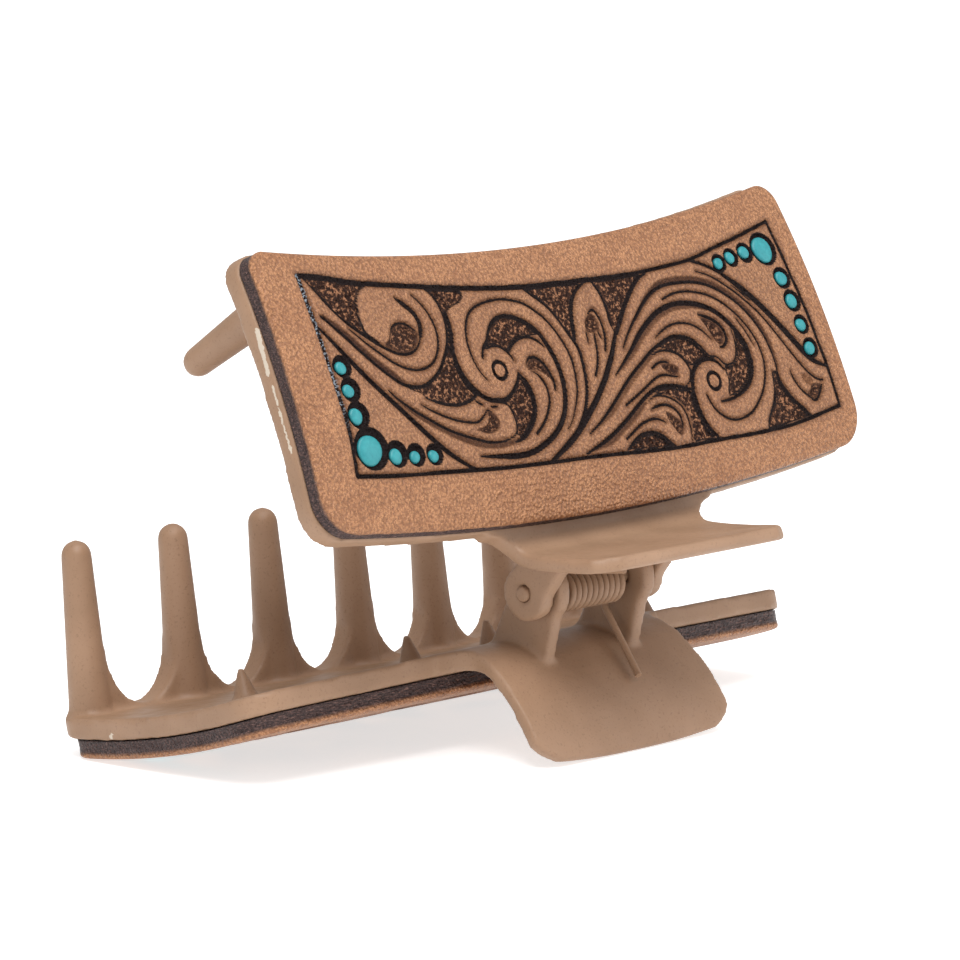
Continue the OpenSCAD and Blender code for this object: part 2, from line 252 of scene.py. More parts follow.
# %% Mix the plastic's coat
coat = Finish("tan_coat", (0.3, 0.18, 0.11), 0.5, Specular_IOR_Level=0.35)
cloud = coat.noise(9, detail=4)
coat_colour = coat.ramp(cloud, (0.3, (0.27, 0.16, 0.096)), (0.7, (0.33, 0.2, 0.124)))
speck = coat.ramp(coat.noise(0.4, detail=3, rough=0.6), (0.56, (0.0,)), (0.72, (1.0,)))
coat_colour = coat.mix(coat.maths("MULTIPLY", speck, 0.4), coat_colour, (0.15, 0.085, 0.05))
chip = coat.maths("ADD", coat.attribute("chip"), coat.noise(0.9, detail=3, rough=0.6))
chip = coat.ramp(chip, (0.93, (0.0,)), (1.0, (1.0,)))
coat_colour = coat.mix(chip, coat_colour, (0.54, 0.46, 0.37))
coat.colour(coat_colour)
coat.roughness(coat.ramp(coat.noise(2.5, detail=3), (0.3, (0.42,)), (0.7, (0.56,))))
peel = coat.bump(coat.noise(0.8, detail=3, rough=0.6), 0.035, 0.7)
coat.bump(coat.noise(0.25, detail=2), 0.008, 0.6, under=peel)
print("coat:", len(coat.nodes), "nodes")

# %% [markdown]
# ## The jaws
#
# A moulded part has no knife-sharp edge: every corner is rounded by the mould, and
# the teeth flow into the plate. A bevel would need clean edge loops, which a cut
# solid hasn't got. So each jaw is copied, rebuilt as one even skin of small voxels,
# and smoothed a little, which rounds outer edges and fills inner corners alike. The
# voxels are as small as a budget of 200,000 triangles a jaw allows.

# %% Soften the two moulded jaws
voxel = 0.000442
smooth_rounds = 5


def softened(node, name):
    piece = bpy.data.objects.new(name, frame["nodes"][node].data.copy())
    bpy.context.scene.collection.objects.link(piece)
    skin = piece.modifiers.new("skin", "REMESH")
    skin.mode = "VOXEL"
    skin.voxel_size = voxel
    soft = piece.modifiers.new("soft", "SMOOTH")
    soft.factor = 0.5
    soft.iterations = smooth_rounds
    shown = piece.evaluated_get(bpy.context.evaluated_depsgraph_get())
    mesh = bpy.data.meshes.new_from_object(shown)
    piece.modifiers.clear()
    piece.data = mesh
    mesh.shade_smooth()
    return piece


lower_jaw = softened("lower_jaw", "lower_jaw_moulded")
upper_jaw = softened("upper_jaw", "upper_jaw_moulded")
for jaw in (lower_jaw, upper_jaw):
    print(jaw.name, len(jaw.data.polygons), "faces")

# %% [markdown]
# ### Pale chips
#
# A few thin pale streaks run down the left end of the upper plate, and two corners of
# the lower plate were knocked. Each streak is charted by its two ends and a size, and
# every point of the skin stores how near it lies to one.


# %% Mark the chips and dress the jaws
def corners_of(mesh):
    flat = np.empty(len(mesh.vertices) * 3, np.float32)
    mesh.vertices.foreach_get("co", flat)
    return flat.reshape(-1, 3).astype(float)


def keep(mesh, name, values):
    spot = mesh.attributes.new(name, "FLOAT", "POINT")
    spot.data.foreach_set("value", np.asarray(values, np.float32))


def paint_chips(mesh, chips):
    """Marks the skin near each chip: two ends of a streak and a size, all in mm."""
    co = corners_of(mesh) / mm
    mark = np.zeros(len(co))
    for start, end, size in chips:
        a, run = np.array(start), np.array(end) - np.array(start)
        t = np.clip((co - a) @ run / (run @ run), 0, 1)
        away = np.linalg.norm(co - a - t[:, None] * run, axis=1)
        mark = np.maximum(mark, 1 - away / size)
    keep(mesh, "chip", np.clip(mark, 0, 1))


lower_chips = [
    ((-53.9, 24.8, 4.1), (-53.9, 24.2, 4.9), 0.6),
    ((55.2, -5.5, 9.8), (55.2, -4.9, 10.2), 1.2),
]
upper_chips = [
    ((-53.9, -6.3, 63.1), (-54.15, -8.5, 57.5), 0.66),
    ((-54.2, -9.4, 56.0), (-54.4, -11.5, 51.0), 0.52),
    ((-54.4, -11.5, 51.0), (-54.65, -13.3, 46.8), 0.44),
]
for jaw, node, body, chips in (
        (lower_jaw, "lower_jaw", "lower", lower_chips),
        (upper_jaw, "upper_jaw", "upper", upper_chips)):
    paint_chips(jaw.data, chips)
    dress(jaw, coat)
    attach(jaw, body)
    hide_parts(node)
    print(jaw.name, len(chips), "chips")

# %% [markdown]
# ## The shape of a leather panel
#
# Both panels have the same outline: two arcs, a slightly slanted line at each end,
# and round corners, all bowed outwards across the width. The sizes repeat those of
# the solid piece, so the carved panel lies exactly where the plain one does. A point
# of a panel is given by x along the pin, y away from the hinge and a depth below the
# plate's inner face. Each jaw keeps its own distance from the pin. At rest the lower jaw
# is tilted by 13 degrees, and the upper one stands open by 80 degrees more.

# %% Describe a panel by its sizes
panel_half = 55.0
panel_half_teeth = 53.25
panel_start = 9.0
panel_width = 39.0
hinge_sag, teeth_sag, bow = 3.6, 5.0, 1.3
corner, corner_teeth = 5.0, 3.5
leather_in, leather_out = 3.15, 5.75
lower_start, lower_gap = 9.0, 6.0
upper_start, upper_gap = 7.6, 4.4
rest_tilt = np.radians(13.0862)
open_angle = np.radians(80)
pin_y, pin_z = (v / mm for v in frame["joints"][0]["pos_m"][1:])


def arc_radius(half_chord, rise):
    return (half_chord**2 + rise**2) / (2 * rise)


hinge_arc = arc_radius(panel_half, hinge_sag)
teeth_arc = arc_radius(panel_half_teeth, teeth_sag)
bow_arc = arc_radius(panel_width / 2, bow)


def hinge_edge(x):
    return panel_start + hinge_arc - np.sqrt(hinge_arc**2 - x**2)


def teeth_edge(x):
    return panel_start + panel_width + teeth_arc - np.sqrt(teeth_arc**2 - x**2)


def half_length(v):
    """Half the panel's length at v mm from its hinge edge, with the round corners."""
    half = panel_half + (panel_half_teeth - panel_half) * v / panel_width
    r = np.where(v > panel_width / 2, corner_teeth, corner)
    near = np.clip(r - np.minimum(v, panel_width - v), 0, r)
    return half - r + np.sqrt(r**2 - near**2)


def bowed(y, depth):
    """Height at y of a layer whose depth is counted from the plate's inner face."""
    middle_y = panel_start + panel_width / 2
    return bow_arc - bow - np.sqrt((bow_arc + depth) ** 2 - (y - middle_y) ** 2)


def about_pin(x, y, z, upper):
    """From a place about the pin, in mm and in a jaw's own directions, to the room in metres."""
    angle = open_angle - rest_tilt if upper else rest_tilt
    c, s = np.cos(angle), np.sin(angle)
    up = y * s - z * c if upper else z * c - y * s
    return np.stack([x, pin_y + y * c + z * s, pin_z + up], -1) * mm


def in_room(x, y, z, upper):
    """From a panel's chart, in mm and z up from the plate's inner face, to the room in metres."""
    start, gap = (upper_start, upper_gap) if upper else (lower_start, lower_gap)
    return about_pin(x, y - panel_start + start, z - gap, upper)


print("panel arcs in mm:", round(hinge_arc), round(teeth_arc), round(bow_arc))

# %% [markdown]
# ## The carving, part 1: how a line is drawn
#
# A carver cuts the lines with a swivel knife, bevels one side of each cut, mats the
# ground down with small stamps, hollows the eyes of the leaves, and rubs dark dye into
# everything that is sunk. The design is a traditional scroll of acanthus leaves. It
# is charted here, in mm on the flat panel, as knife cuts, sunk grounds, hollows and
# soft shades. A smooth curve runs through each row of points.

# %% Curves through points
cuts, shades, grounds, hollows = [], [], [], []


def smooth_curve(points, closed=False, step=0.3):
    """A Catmull-Rom curve through the points, sampled about every step mm."""
    p = np.array(points, float)
    ends = (p[-1], p[:2]) if closed else (2 * p[0] - p[1], 2 * p[-1] - p[-2])
    p = np.vstack([ends[0], p, ends[1]])
    out = []
    for a, b, c, d in zip(p, p[1:], p[2:], p[3:]):
        n = max(2, int(np.linalg.norm(c - b) / step))
        t = np.arange(n)[:, None] / n
        out.append(0.5 * (2 * b + (c - a) * t + (2 * a - 5 * b + 4 * c - d) * t**2
                          + (3 * b - a - 3 * c + d) * t**3))
    return np.vstack(out + ([] if closed else [p[-2:-1]]))


def cut(width, *points, ends=(0.5, 0.5)):
    """A knife cut of a width in mm, whose ends have a share of that width."""
    cuts.append((width, ends, smooth_curve(points)))


def shade(width, *points, dark=0.9, ends=(0.3, 0.3)):
    """A soft bevel rubbed with brown dye beside a cut."""
    shades.append((width, ends, smooth_curve(points), dark))


def ground(*points):
    """A matted ground between the leaves, sunk and dyed."""
    grounds.append(smooth_curve(points, closed=True))


def hollow(*points):
    """The scooped eye of a leaf."""
    hollows.append(smooth_curve(points, closed=True))


def so_far(part):
    print(part + ":", len(cuts), "cuts,", len(grounds), "grounds,", len(hollows), "hollows")


print("a 10 mm curve has", len(smooth_curve([(0, 0), (5, 2), (10, 0)])), "points")

# %% [markdown]
# ### The border
#
# One line frames the carving. It follows the panel's arch above and below, and is cut
# widest at the upper left.

# %% Cut the border
cut(0.62, (-45.8, 48.2), (-46.0, 44), (-46.1, 40), (-46.2, 35), (-46.3, 30), (-46.5, 25),
    (-47.3, 19.5), ends=(1, 1))
cut(0.75, (-45.8, 48.2), (-42, 47.6), (-36, 46.1), (-30, 45.1), (-24, 44.2), (-16, 43.1),
    (-8, 42.3), (-2, 42.0), (6, 41.8), (14, 41.7), (20, 41.8), ends=(1, 0.7))
cut(0.5, (20, 41.8), (26, 42.2), (31, 42.7), (36, 43.8), (41, 44.8), (45, 45.7), (49.2, 46.7),
    ends=(1, 1))
cut(0.6, (49.2, 46.7), (49.5, 42), (49.8, 38), (50.2, 34), (50.5, 30), (50.8, 26), (51.1, 22),
    (51.3, 18), ends=(1, 1))
cut(0.55, (-47.3, 19.5), (-40, 18.7), (-30, 18.0), (-20, 17.3), (-10, 16.9), (0, 16.6), (10, 16.1),
    (17, 15.9), (25, 16.0), (33, 16.0), (40, 16.3), (45, 16.9), (51.3, 17.9), ends=(1, 1))
so_far("border")

# %% [markdown]
# ### The left leaf and its comma scroll
#
# A long leaf sweeps from the upper left corner to the foot of the panel. It divides the
# dotted corner from the carving. Above it, a round comma curls over its own eye.

# %% Carve the left leaf
cut(0.8, (-45.7, 40.6), (-44, 38.1), (-42, 35.1), (-40, 32.4), (-38, 30.0), (-36, 27.7),
    (-34, 25.4), (-32, 23.2), (-30, 21.2), (-28, 19.6), (-26, 18.3), (-24.6, 17.7))
cut(0.45, (-44.9, 47.7), (-43.6, 45.6), (-42.2, 43.2), (-40.4, 40.8), (-38.6, 39.1), (-36.4, 37.3),
    (-34.2, 35.9), (-32.6, 35.2), (-31, 35.0), (-29.5, 35.4), (-28.4, 36.2), (-27.6, 37.3))
cut(0.75, (-27.6, 37.3), (-27.1, 38.5), (-27.1, 39.8), (-27.6, 40.9), (-28.6, 42.0), (-29.8, 43.2),
    ends=(0.8, 0.3))
cut(0.36, (-26.6, 43.3), (-25.4, 41.8), (-24.6, 40), (-24.3, 38.2), (-24.6, 36.4), (-25.4, 34.8),
    (-26.8, 33.4), (-28.6, 32.7), (-30.4, 32.6), (-32.4, 33.1), (-34.4, 34.2), (-36.2, 35.7),
    (-38, 37.3), (-40.3, 39.7))
cut(0.5, (-44.4, 42.0), (-43, 40.5), (-41.5, 38.8), (-40, 36.9), (-38, 34.6), (-36, 32.6),
    (-34, 31.0), (-32, 30.4), (-30, 30.3), (-28, 31.0), (-26.2, 32.1), (-24.5, 33.8), (-23.2, 35.5),
    (-22.4, 37.2), (-22.0, 39), (-22.0, 40.8), (-22.4, 42.2), (-23.1, 43.4), (-23.9, 44.1),
    ends=(0.9, 0.7))
shade(1.5, (-44.2, 42.0), (-42.6, 40.2), (-41.0, 38.4), (-39.4, 36.4), (-37.4, 34.2), (-35.4, 32.4),
      (-33.6, 31.1))
cut(0.36, (-33.0, 38.3), (-32.2, 39.1), (-31.0, 39.5), (-29.8, 39.3), (-28.9, 38.7), (-28.2, 38.0))
hollow((-35.0, 36.8), (-34.0, 37.4), (-33.2, 38.3), (-32.2, 39.1), (-31.0, 39.5), (-29.8, 39.3),
       (-28.9, 38.7), (-28.1, 37.6), (-28.6, 36.5), (-29.5, 35.6), (-30.8, 35.1), (-32.2, 35.2),
       (-33.8, 35.9))
ground((-44.9, 47.8), (-43.6, 45.8), (-42.2, 43.4), (-40.4, 41.0), (-38.6, 39.3), (-36.6, 37.6),
       (-35.2, 36.8), (-36.3, 37.9), (-37.4, 38.9), (-37.6, 40.4), (-37.3, 42.0), (-36.7, 43.6),
       (-35.6, 44.8), (-34.3, 45.5), (-38, 46.5), (-42, 47.5))
ground((-33.5, 30.4), (-31.5, 29.3), (-30, 28.3), (-28, 27.5), (-26, 27.0), (-24, 26.9),
       (-22, 27.3), (-20.8, 27.9), (-21.6, 29.2), (-22.3, 30.6), (-22.6, 32.4), (-22.7, 34),
       (-22.9, 35.4), (-24.3, 33.9), (-26, 32.2), (-28, 31.0), (-30, 30.3))
ground((-23.8, 43.9), (-20.4, 43.4), (-17.2, 42.9), (-17.1, 41.9), (-18, 41.1), (-19.3, 40.8),
       (-20.4, 40.4), (-21.4, 39.8), (-21.9, 39.8), (-21.9, 41.2), (-22.4, 42.4), (-23.1, 43.3))
so_far("left leaf")

# %% [markdown]
# ### The long lower leaf
#
# Below the comma a second leaf runs right and ends in a round tip with a dark eye.
# Its underside is shaded by a long tapered stroke.

# %% Carve the lower leaf
cut(0.4, (-37.0, 30.4), (-35.8, 29.1), (-34.4, 27.9), (-33, 26.8), (-31, 25.5), (-29, 24.2),
    (-27, 23.2), (-25, 22.4), (-23, 21.7), (-21, 21.1), (-19, 20.9), (-17.4, 21.0), (-16.0, 21.4))
shade(1.3, (-36.6, 29.8), (-34.4, 27.6), (-32, 25.8), (-29, 23.9), (-26, 22.3), (-23, 21.1),
      (-20, 20.6), (-17, 20.5), (-15.2, 20.8), dark=0.8)
cut(0.33, (-31.8, 27.7), (-30, 26.6), (-28, 25.6), (-26, 24.8), (-24, 24.3), (-22.3, 24.1),
    (-21.0, 24.6), (-20.1, 25.3), (-19.6, 25.5), (-19.0, 25.1))
cut(0.33, (-21.5, 27.1), (-20.9, 26.7), (-20.3, 26.3))
cut(0.3, (-18.9, 25.9), (-18.2, 25.8), (-17.7, 25.8))
cut(0.3, (-16.4, 26.1), (-15.4, 25.7), (-15.0, 24.4), (-14.9, 23.2), (-15.3, 21.9), (-16.3, 21.2))
cut(0.42, (-30.6, 28.6), (-28, 27.5), (-26, 27.0), (-24, 26.9), (-22, 27.3), (-20.6, 27.9))
hollow((-19.8, 25.5), (-19.0, 25.1), (-18.3, 24.3), (-18.2, 23.3), (-18.9, 22.5), (-20, 22.2),
       (-21.2, 22.2), (-22.4, 22.7), (-23.3, 23.1), (-21.8, 23.3), (-20.8, 23.6), (-20.2, 24.3))
so_far("lower leaf")

# %% [markdown]
# ### The ring scroll
#
# The left scroll turns round a small ring. Its body widens, passes under the border
# and runs back to the foot of the panel, with a half-open leaf inside the turn.

# %% Carve the ring scroll
cut(0.75, (-21.4, 39.9), (-21.5, 38.4), (-21.7, 37.0), (-22.3, 35.6), (-22.6, 34.2), (-22.6, 32.5),
    (-22.3, 31), (-21.7, 29.7), (-20.9, 28.6), (-19.9, 27.6), (-18.6, 26.9), (-17.2, 26.6),
    (-15.8, 26.5), (-14.4, 27.0), (-13.2, 27.9), (-12.2, 28.9), (-11.6, 29.9), ends=(0.7, 0.5))
cut(0.38, (-17.9, 29.6), (-18.7, 30.8), (-19.2, 32.2), (-19.4, 33.8), (-19.3, 35.4), (-18.8, 37),
    (-18.0, 38.4), (-16.9, 39.5), (-15.5, 40.2), (-13.8, 40.6), (-12, 40.8), (-10, 40.8),
    (-8, 40.4), (-6, 39.7), (-4.4, 38.5), (-3, 37.1), (-1.9, 35.4), (-1.1, 33.5), (-0.6, 31.8),
    (-0.5, 30), (-0.8, 28), (-1.3, 26.2), (-2.2, 24.6), (-3.4, 22.9), (-4.6, 21.6), (-5.3, 21.1))
cut(0.45, (-17.4, 32.9), (-16.7, 34.2), (-15.5, 35.2), (-14.7, 36.3), (-13.6, 37.5), (-12.3, 38.2),
    (-10.8, 38.4), (-9.2, 38.2), (-7.6, 37.5), ends=(0.9, 1))
cut(0.85, (-7.6, 37.5), (-6.3, 36.5), (-5.2, 35.2), (-4.3, 33.2), (-3.7, 31), (-3.5, 29),
    (-3.7, 27), (-4.3, 25), (-5.3, 23.2), (-6.8, 21.6), (-8.8, 20.3), (-11, 19.4), (-13, 18.8),
    (-15.5, 18.55), (-18, 18.7), (-20.5, 19.0), (-23.4, 19.35), ends=(0.6, 0.3))
cut(0.4, (-12.1, 33.0), (-11, 34.0), (-9.8, 34.6), (-8.4, 34.9), (-7, 34.7), (-5.8, 34.0),
    (-5.0, 33.1))
cut(0.4, (-16.2, 34.1), (-15, 34.3), (-13.8, 34.2), (-12.8, 33.6), (-12.1, 32.8), (-11.7, 31.8))
cut(0.65, (-11.6, 30.0), (-10.8, 28.9), (-10.3, 27.5), (-10.2, 26), (-10.5, 24.6), (-11.3, 23.2),
    (-12.7, 21.9), (-14.3, 20.9), (-16, 20.5))
cut(0.45, (-9.7, 30.9), (-8.9, 31.7), (-7.8, 31.9), (-6.8, 31.4), (-6, 30.4), (-5.5, 29.1),
    (-5.3, 27.8), (-5.5, 26.9), ends=(0.3, 1))
hollow((-9.8, 30.2), (-9.5, 31.0), (-8.8, 31.6), (-7.8, 31.8), (-6.8, 31.3), (-6.1, 30.4),
       (-5.6, 29.1), (-5.5, 27.6), (-6.1, 28.4), (-6.9, 29.2), (-8, 29.9), (-9, 29.9))
cut(0.42, (-8.9, 29.9), (-8.0, 29.3), (-7.3, 28.2), (-7.0, 27), (-7.2, 25.6), (-7.9, 24.3),
    (-8.9, 23.1), (-10.2, 22.0), (-11.5, 21.2), ends=(0.3, 1))
ground((-17.1, 33.4), (-16.5, 34.4), (-15.4, 35.3), (-14.6, 36.4), (-13.6, 37.4), (-12.3, 38.1),
       (-10.8, 38.3), (-9.2, 38.1), (-7.6, 37.4), (-6.3, 36.4), (-5.3, 35.1), (-6.4, 34.9),
       (-8.4, 35.1), (-9.8, 34.8), (-11, 34.2), (-12.1, 33.3), (-13, 34.0), (-14.4, 34.5),
       (-16, 34.3))
ground((-15.3, 26.6), (-13.9, 27.3), (-12.6, 28.4), (-11.7, 29.5), (-11.0, 28.7), (-10.5, 27.5),
       (-10.4, 26), (-10.7, 24.6), (-11.5, 23.3), (-12.9, 22.0), (-14.5, 21.0), (-15.4, 21.4),
       (-14.9, 22.8), (-14.8, 24.2), (-15.1, 25.6))
cut(0.6, (-4.9, 41.8), (-3.8, 40.8), (-2.6, 39.8), (-1.4, 38.5), (-0.5, 37), (0.2, 35.4), (0.8, 34),
    (1.3, 32.9), (1.6, 31.6), (1.5, 30.2), (1.3, 28.8), (1.0, 27.3), (0.5, 25.8), (-0.2, 24.4),
    (-1.2, 22.9), (-2.4, 21.6), (-3.8, 20.4), (-5.4, 19.3), ends=(0.7, 0.8))
ground((-4.6, 41.7), (-3.7, 40.9), (-2.5, 39.9), (-1.3, 38.6), (-0.4, 37.1), (0.3, 35.5),
       (0.9, 34.1), (1.4, 33.1), (1.8, 33.9), (2.2, 35.6), (2.7, 37.2), (3.4, 38.6), (4.4, 39.7),
       (5.6, 40.6), (6.9, 41.3), (3, 41.7), (-1, 41.8))
so_far("ring scroll")

# %% [markdown]
# ### The bud between the scrolls
#
# A closed bud stands on the main stem. Its hood is cut deep on the right, and the
# hollow under the hood is dyed dark.

# %% Carve the bud and the main stem
cut(0.45, (1.4, 33.0), (1.9, 34.4), (2.3, 36.0), (2.9, 37.6), (3.8, 39.1), (5.0, 40.3), (6.4, 41.1),
    (7.6, 41.5))
cut(0.5, (8.9, 41.3), (9.5, 40.0), (9.8, 38.4), (9.8, 36.8), (9.6, 35.2), (9.9, 33.8),
    ends=(0.7, 1))
cut(0.45, (5.7, 36.8), (6.4, 37.2), (7.1, 37.3), (7.6, 36.3), (7.8, 35.1), (7.7, 33.8), (7.3, 32.4),
    (6.7, 31.2), ends=(0.4, 0.8))
cut(0.28, (4.2, 34.4), (4.0, 33.3), (3.9, 32.6))
cut(0.42, (5.6, 33.9), (5.35, 32.4), (5.0, 31.0), (4.4, 29.6), (3.8, 28.6), (3.2, 27.9),
    ends=(0.4, 1))
cut(0.3, (6.5, 34.1), (6.6, 33.5), (6.7, 33.0))
hollow((4.1, 34.3), (4.2, 35.4), (4.7, 36.2), (5.5, 36.7), (6.4, 36.8), (6.9, 36.1), (7.0, 35.0),
       (6.7, 34.1), (6.0, 34.1), (5.2, 33.9), (4.6, 34.0))
cut(0.95, (10.0, 33.6), (8.8, 32.0), (7.6, 30.4), (6.2, 28.8), (4.8, 27.2), (3.4, 25.9), (2, 24.6),
    (0.5, 23.4), (-1, 22.2), (-2.5, 21.1), (-4.2, 20.0), (-6.2, 18.9), (-8, 18.0), (-9.9, 17.1),
    ends=(0.6, 0.6))
ground((9.1, 41.5), (12, 41.5), (15.4, 41.5), (18.9, 41.5), (17.6, 40.5), (16, 39.2), (14.6, 38),
       (13.4, 36.8), (12.2, 35.5), (11.2, 34.4), (10.2, 33.4), (9.7, 34.2), (9.8, 35.6), (10.0, 37),
       (10.0, 38.4), (9.7, 39.9))
so_far("bud and stem")

# %% [markdown]
# ### The large right scroll
#
# The right scroll is the widest. Three long lines follow its turn, the outer one shaded,
# and it ends in a volute round the second ring.

# %% Carve the right scroll
cut(0.6, (10.2, 33.3), (11.4, 34.7), (13, 36.5), (14.8, 38.2), (16.6, 39.7), (18.4, 40.9),
    (20.2, 41.5))
cut(0.5, (10.4, 31.2), (12, 32.8), (13.6, 34.2), (15.4, 35.6), (17.4, 37.1), (19.4, 38.3),
    (21.6, 39.1), (24, 39.4), (26.5, 39.4), (29, 39.2), (31.4, 38.6), (33.6, 37.5), (35.6, 36.0),
    (37.2, 34.4), (38.6, 32.4), (39.6, 30.2), (40.1, 28), (40.3, 26), (40.2, 24.4), ends=(0.5, 0.7))
shade(1.25, (14.4, 34.9), (18, 37.5), (21.6, 39.4), (25, 39.8), (29, 39.5), (32.4, 38.5),
      (35.4, 36.5), (37.8, 33.9), (39.4, 31), (40.3, 28), (40.5, 25.4), dark=0.85)
cut(0.36, (21.6, 37.3), (24, 37.9), (26.5, 38), (29, 37.6), (31.4, 36.8), (33.6, 35.4),
    (35.4, 33.6), (36.8, 31.6), (37.7, 29.6), (38.1, 27.5), (37.9, 25.5), (37.2, 23.6), (36, 21.8),
    (34.4, 20.3), (32.6, 19.1), (30.6, 18.5), (28.6, 18.4), (26.8, 19.0), (25.3, 20.2),
    (24.6, 21.4), (24.2, 22.6), ends=(0.9, 0.9))
cut(0.24, (35.0, 33.0), (36.0, 31.2), (36.6, 29.6), (36.9, 28.7))
cut(0.8, (7.2, 27.5), (9.6, 29.1), (12, 30.8), (14.4, 32.7), (16.8, 34.2), (19.2, 35.4),
    (21.6, 36.1), (24, 36.4), (26.4, 36.2), (28.6, 35.7), (30.8, 34.7), (32.8, 33), (34.3, 31),
    (35.2, 29), (35.4, 27), (35, 25.2), (33.9, 23.6), (32.4, 22.5), (30.6, 21.8), (28.8, 21.4),
    (26.8, 21.3), ends=(0.3, 0.35))
shade(1.1, (8.6, 28.2), (12, 30.4), (15.4, 32.8), (19, 34.8), (22.6, 35.8), (26.4, 35.8),
      (29.6, 34.9), dark=0.75)
cut(0.33, (17.4, 31.9), (19.4, 32.8), (21.4, 33.4), (23.4, 33.5), (25.4, 33.1), (27, 32.2),
    (28, 31.2), (28.6, 30.4))
cut(0.55, (27.7, 34.3), (29.2, 33.8), (30.6, 33), (31.6, 31.9), (31.9, 30.8), (31.6, 29.8),
    (30.8, 29.2), (30.0, 29.1), ends=(0.5, 0.6))
hollow((27.6, 33.7), (28.6, 33.8), (30, 33.1), (31.1, 32), (31.5, 31), (31.1, 29.9), (30.1, 29.3),
       (29.2, 30), (28.7, 31), (28.2, 32.3))
cut(0.3, (33.3, 31.4), (33.4, 30), (33.1, 28.6), (32.5, 27.4), (31.6, 26.6), (30.5, 26.4),
    (29.6, 26.7), (28.9, 27.5), (27.9, 28.1))
ground((33.7, 31.3), (34.4, 30.4), (35.0, 28.9), (35.1, 27), (34.7, 25.4), (33.7, 23.9),
       (32.2, 22.8), (30.5, 22.1), (28.7, 21.8), (28.7, 22.8), (29.2, 23.8), (29.4, 24.8),
       (29.3, 25.8), (29.8, 26.4), (30.7, 26.2), (31.8, 26.5), (32.7, 27.3), (33.3, 28.6),
       (33.6, 30))
cut(0.5, (-1.3, 19.9), (1.4, 21.2), (4, 22.8), (6.2, 24.3), (8.6, 26.0), (11, 27.5), (13.4, 28.8),
    (15.6, 30.0), (17.6, 30.8), (19.8, 31.5), (21.6, 31.7), (23.4, 31.4), (24.8, 30.8), (26, 29.6),
    (27, 28.3), (28, 27.8), ends=(0.5, 0.5))
shade(1.0, (0.4, 20.6), (4, 22.4), (7.6, 24.9), (11, 27.1), (14.4, 29.0), (17.2, 30.2), dark=0.7)
ground((17.4, 30.5), (19.6, 31.3), (21.6, 31.5), (23.4, 31.2), (24.8, 30.5), (25.9, 29.4),
       (26.8, 28.2), (27.2, 27.7), (26, 27.9), (24.6, 27.6), (23.4, 27.1), (22.5, 27.2),
       (21.8, 28.4), (20.8, 29.3), (19.4, 29.9), (18.4, 30.2))
cut(0.7, (29.2, 25.9), (28.4, 27.0), (27.2, 27.6), (26, 27.7), (24.6, 27.4), (23.3, 26.6),
    (22.4, 25.4), (21.8, 23.8), (21.7, 22), (21.9, 20.4), (22.4, 18.8), (23.2, 17.5), (24.2, 16.5),
    ends=(0.4, 0.8))
so_far("right scroll")

# %% [markdown]
# ### The small leaves at the foot
#
# Two short leaves fill the foot of the panel between the stem and the volute, each
# with a hooked tip and a dark eye. A flat lens of ground lies below them.

# %% Carve the small leaves
cut(0.6, (-3.0, 17.2), (-0.6, 17.9), (1.6, 18.6), (4.2, 19.7), (7, 21.1), (10, 22.8), (12.4, 24.0),
    (14.6, 24.7), (16.8, 24.8), (19, 24.5), (21.3, 23.8), ends=(0.5, 0.7))
shade(1.1, (-1.0, 17.6), (2.4, 18.4), (5.4, 19.8), (8.4, 21.3), (11.4, 22.9), dark=0.8)
cut(0.38, (7.4, 23.0), (9.4, 23.8), (11.6, 24.7), (13.6, 25.6), (15.4, 26.3), (17, 26.4),
    (18.6, 26.0), (19.4, 25.9), ends=(0.9, 0.6))
cut(0.38, (14.8, 27.6), (16.2, 28.2), (17.6, 28.3), (18.5, 28.0), ends=(0.9, 0.5))
hollow((16.5, 27.8), (17.6, 28.1), (18.8, 27.9), (19.7, 27.4), (20.0, 26.8), (19.4, 26.1),
       (18.4, 26.0), (17.6, 26.6), (16.9, 27.1))
cut(0.35, (15.5, 29.4), (17.2, 29.9), (19, 29.8), (20.6, 29.2), (21.7, 28.2), (22.3, 27),
    (22.3, 26), (21.5, 24.9), (20.5, 24.3))
cut(0.3, (12, 23.1), (13.6, 23.6), (15.2, 23.5), (16.8, 22.9), (18.2, 21.9), (18.9, 20.6),
    (19.1, 19), (18.9, 17.4), (18.6, 16.4))
cut(0.42, (12.1, 21.8), (13.6, 22.2), (15.2, 22.2), (16.6, 21.6), (17.5, 20.6), (17.7, 19.4),
    (17.5, 18.5))
cut(0.38, (5.7, 18.3), (7.6, 19.2), (9.4, 20), (11.2, 20.4), (12.8, 20.4), (14.2, 19.8),
    ends=(0.9, 0.5))
hollow((14.6, 21.2), (15.4, 21.0), (16.4, 20.3), (17.3, 19.5), (17.5, 18.5), (17.2, 17.7),
       (16.6, 17.4), (16, 17.9), (15.4, 18.8), (14.9, 19.8))
ground((15.0, 24.5), (17, 24.6), (19, 24.2), (21.2, 23.6), (21.4, 22), (21.6, 20.4), (22.1, 18.7),
       (22.9, 17.3), (23.6, 16.4), (19.2, 16.3), (19.3, 17.4), (19.5, 19), (19.3, 20.6),
       (18.6, 21.9), (17.4, 22.9), (16, 23.6), (14.4, 23.8), (13.4, 23.8))
ground((5.4, 16.8), (7.2, 17.7), (9, 18.4), (11, 18.5), (12.7, 17.9), (13.9, 16.9), (14.7, 16.3),
       (10, 16.4))
cut(0.42, (5.2, 16.7), (7.2, 17.9), (9, 18.6), (11, 18.7), (12.8, 18.1), (14.1, 17.0), (15.2, 16.1))
so_far("small leaves")

